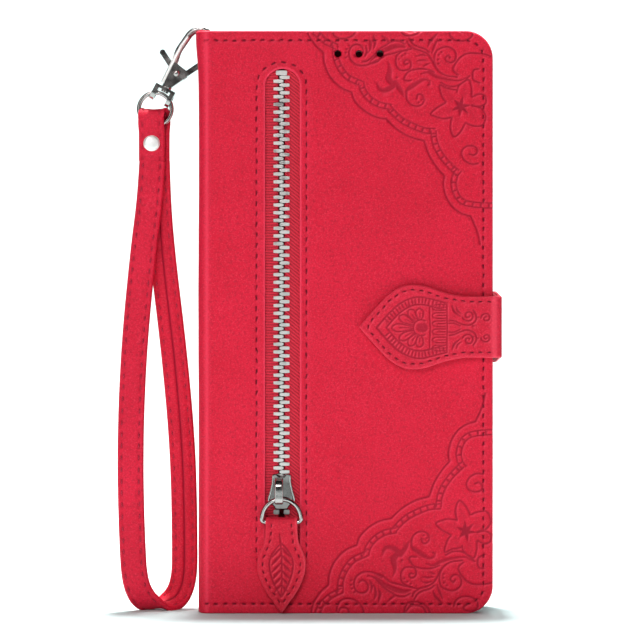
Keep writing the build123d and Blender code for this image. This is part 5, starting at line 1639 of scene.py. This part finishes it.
# Cloth of the coin pocket, a little slack
cloth_low, cloth_high = box_mm("coin_pocket_lining")
cloth_slack = soft_waves(0.03, 9)
cloth_bm = cut_sheet((cloth_low[0], cloth_low[2]), (cloth_high[0], cloth_high[2]), 2.2,
                     front_view(cloth_low, cloth_high), plain_marks, facing(cloth_low[1]),
                     rim=((0, cloth_low[1] - cloth_high[1]),), levels=1, rolled=0.12,
                     lift=lambda p: cloth_slack(p) - 0.07)
pocket_cloth = finish_piece(cloth_bm, "coin_pocket_cloth", POCKET_CLOTH, "front_cover")
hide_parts("coin_pocket_lining")

# CAD nodes that keep their own shape
FINISHES = {
    NICKEL: ("pull_ring", "gate_pin", "strap_ring"),
    CAST: ("hook", "hook_gate", "swivel_eye"),
    TOOTH_METAL: ("zip_teeth_left", "zip_teeth_right", "zip_end_stop"),
    STEEL: ("clasp_magnet", "clasp_keeper"),
    # The zip stops take the darker metal as painted shade
    STOPS_DARKENED_AS_SHADE: ("zip_stop_left", "zip_stop_right"),
    SHELL: ("phone_shell",),
    FOAM: ("front_foam",),
    BOARD: ("front_board", "back_board"),
}
for finish, names in FINISHES.items():
    for name in names:
        NODES[name].data.materials.clear()
        NODES[name].data.materials.append(finish)


# Floor and backdrop, one pale sweep
SWEEP_WIDE, SWEEP_LONG = 5, 4.0
SWEEP_START, BEND_AT, BEND_RADIUS = -1.2, 0.7, 0.5


def pale_sweep():
    bm = bmesh.new()
    bmesh.ops.create_grid(bm, x_segments=2, y_segments=60, size=0.5)
    for v in bm.verts:
        run = SWEEP_START + (v.co.y + 0.5) * SWEEP_LONG
        turn = min(max((run - BEND_AT) / BEND_RADIUS, 0), math.pi / 2)
        past = max(run - BEND_AT - BEND_RADIUS * math.pi / 2, 0)
        v.co = (v.co.x * SWEEP_WIDE, min(run, BEND_AT) + BEND_RADIUS * math.sin(turn),
                BEND_RADIUS * (1 - math.cos(turn)) + past)
    material, tree, shader = new_finish("pale_paper")
    # The paper is tinted cyan so the red light the case bounces onto it does not show: painted colour that
    # offsets light
    paper = mixed(tree, noise(tree, place_in(tree), 300), (0.60, 0.71, 0.705, 1), (0.58, 0.69, 0.685, 1))
    tree.links.new(paper, shader.inputs["Base Color"])
    shader.inputs["Roughness"].default_value = 0.9
    shader.inputs["Specular IOR Level"].default_value = 0.1
    sweep = finish_piece(bm, "floor", material)


pale_sweep()


def soft_box(name, at, aim, size, power, tall=None):
    """A lamp behind a square or upright cloth, aimed at a point."""
    data = bpy.data.lights.new(name, "AREA")
    data.shape = "RECTANGLE"
    data.size, data.size_y = size, tall or size
    data.energy = power
    light = bpy.data.objects.new(name, data)
    bpy.context.scene.collection.objects.link(light)
    light.location = at
    light.rotation_euler = (Vector(aim) - Vector(at)).to_track_quat("-Z", "Y").to_euler()


soft_box("key", (-0.2, -0.95, 0.72), (0, 0, 0.08), 0.42, 4.8)
soft_box("left strip", (-0.62, -0.75, 0.2), (0, 0, 0.1), 0.34, 2.4, 1.0)
soft_box("fill", (0.75, -0.9, 0.1), (0, 0, 0.08), 0.9, 1.7)
soft_box("top", (0, 0.1, 0.95), (0, 0, 0), 0.1, 17)
soft_box("backdrop", (0, 0.45, 1.3), (0, 1.2, 0.2), 1.0, 24)

# A room that is brighter overhead
world = bpy.data.worlds.new("studio")
world.use_nodes = True
sky = world.node_tree
upward = add(sky, "SeparateXYZ", {"Vector": add(sky, "TexCoord").outputs["Generated"]}).outputs["Z"]
sky.links.new(span(sky, upward, -0.05, 0.75, 0.07, 0.6), sky.nodes["Background"].inputs["Strength"])
bpy.context.scene.world = world
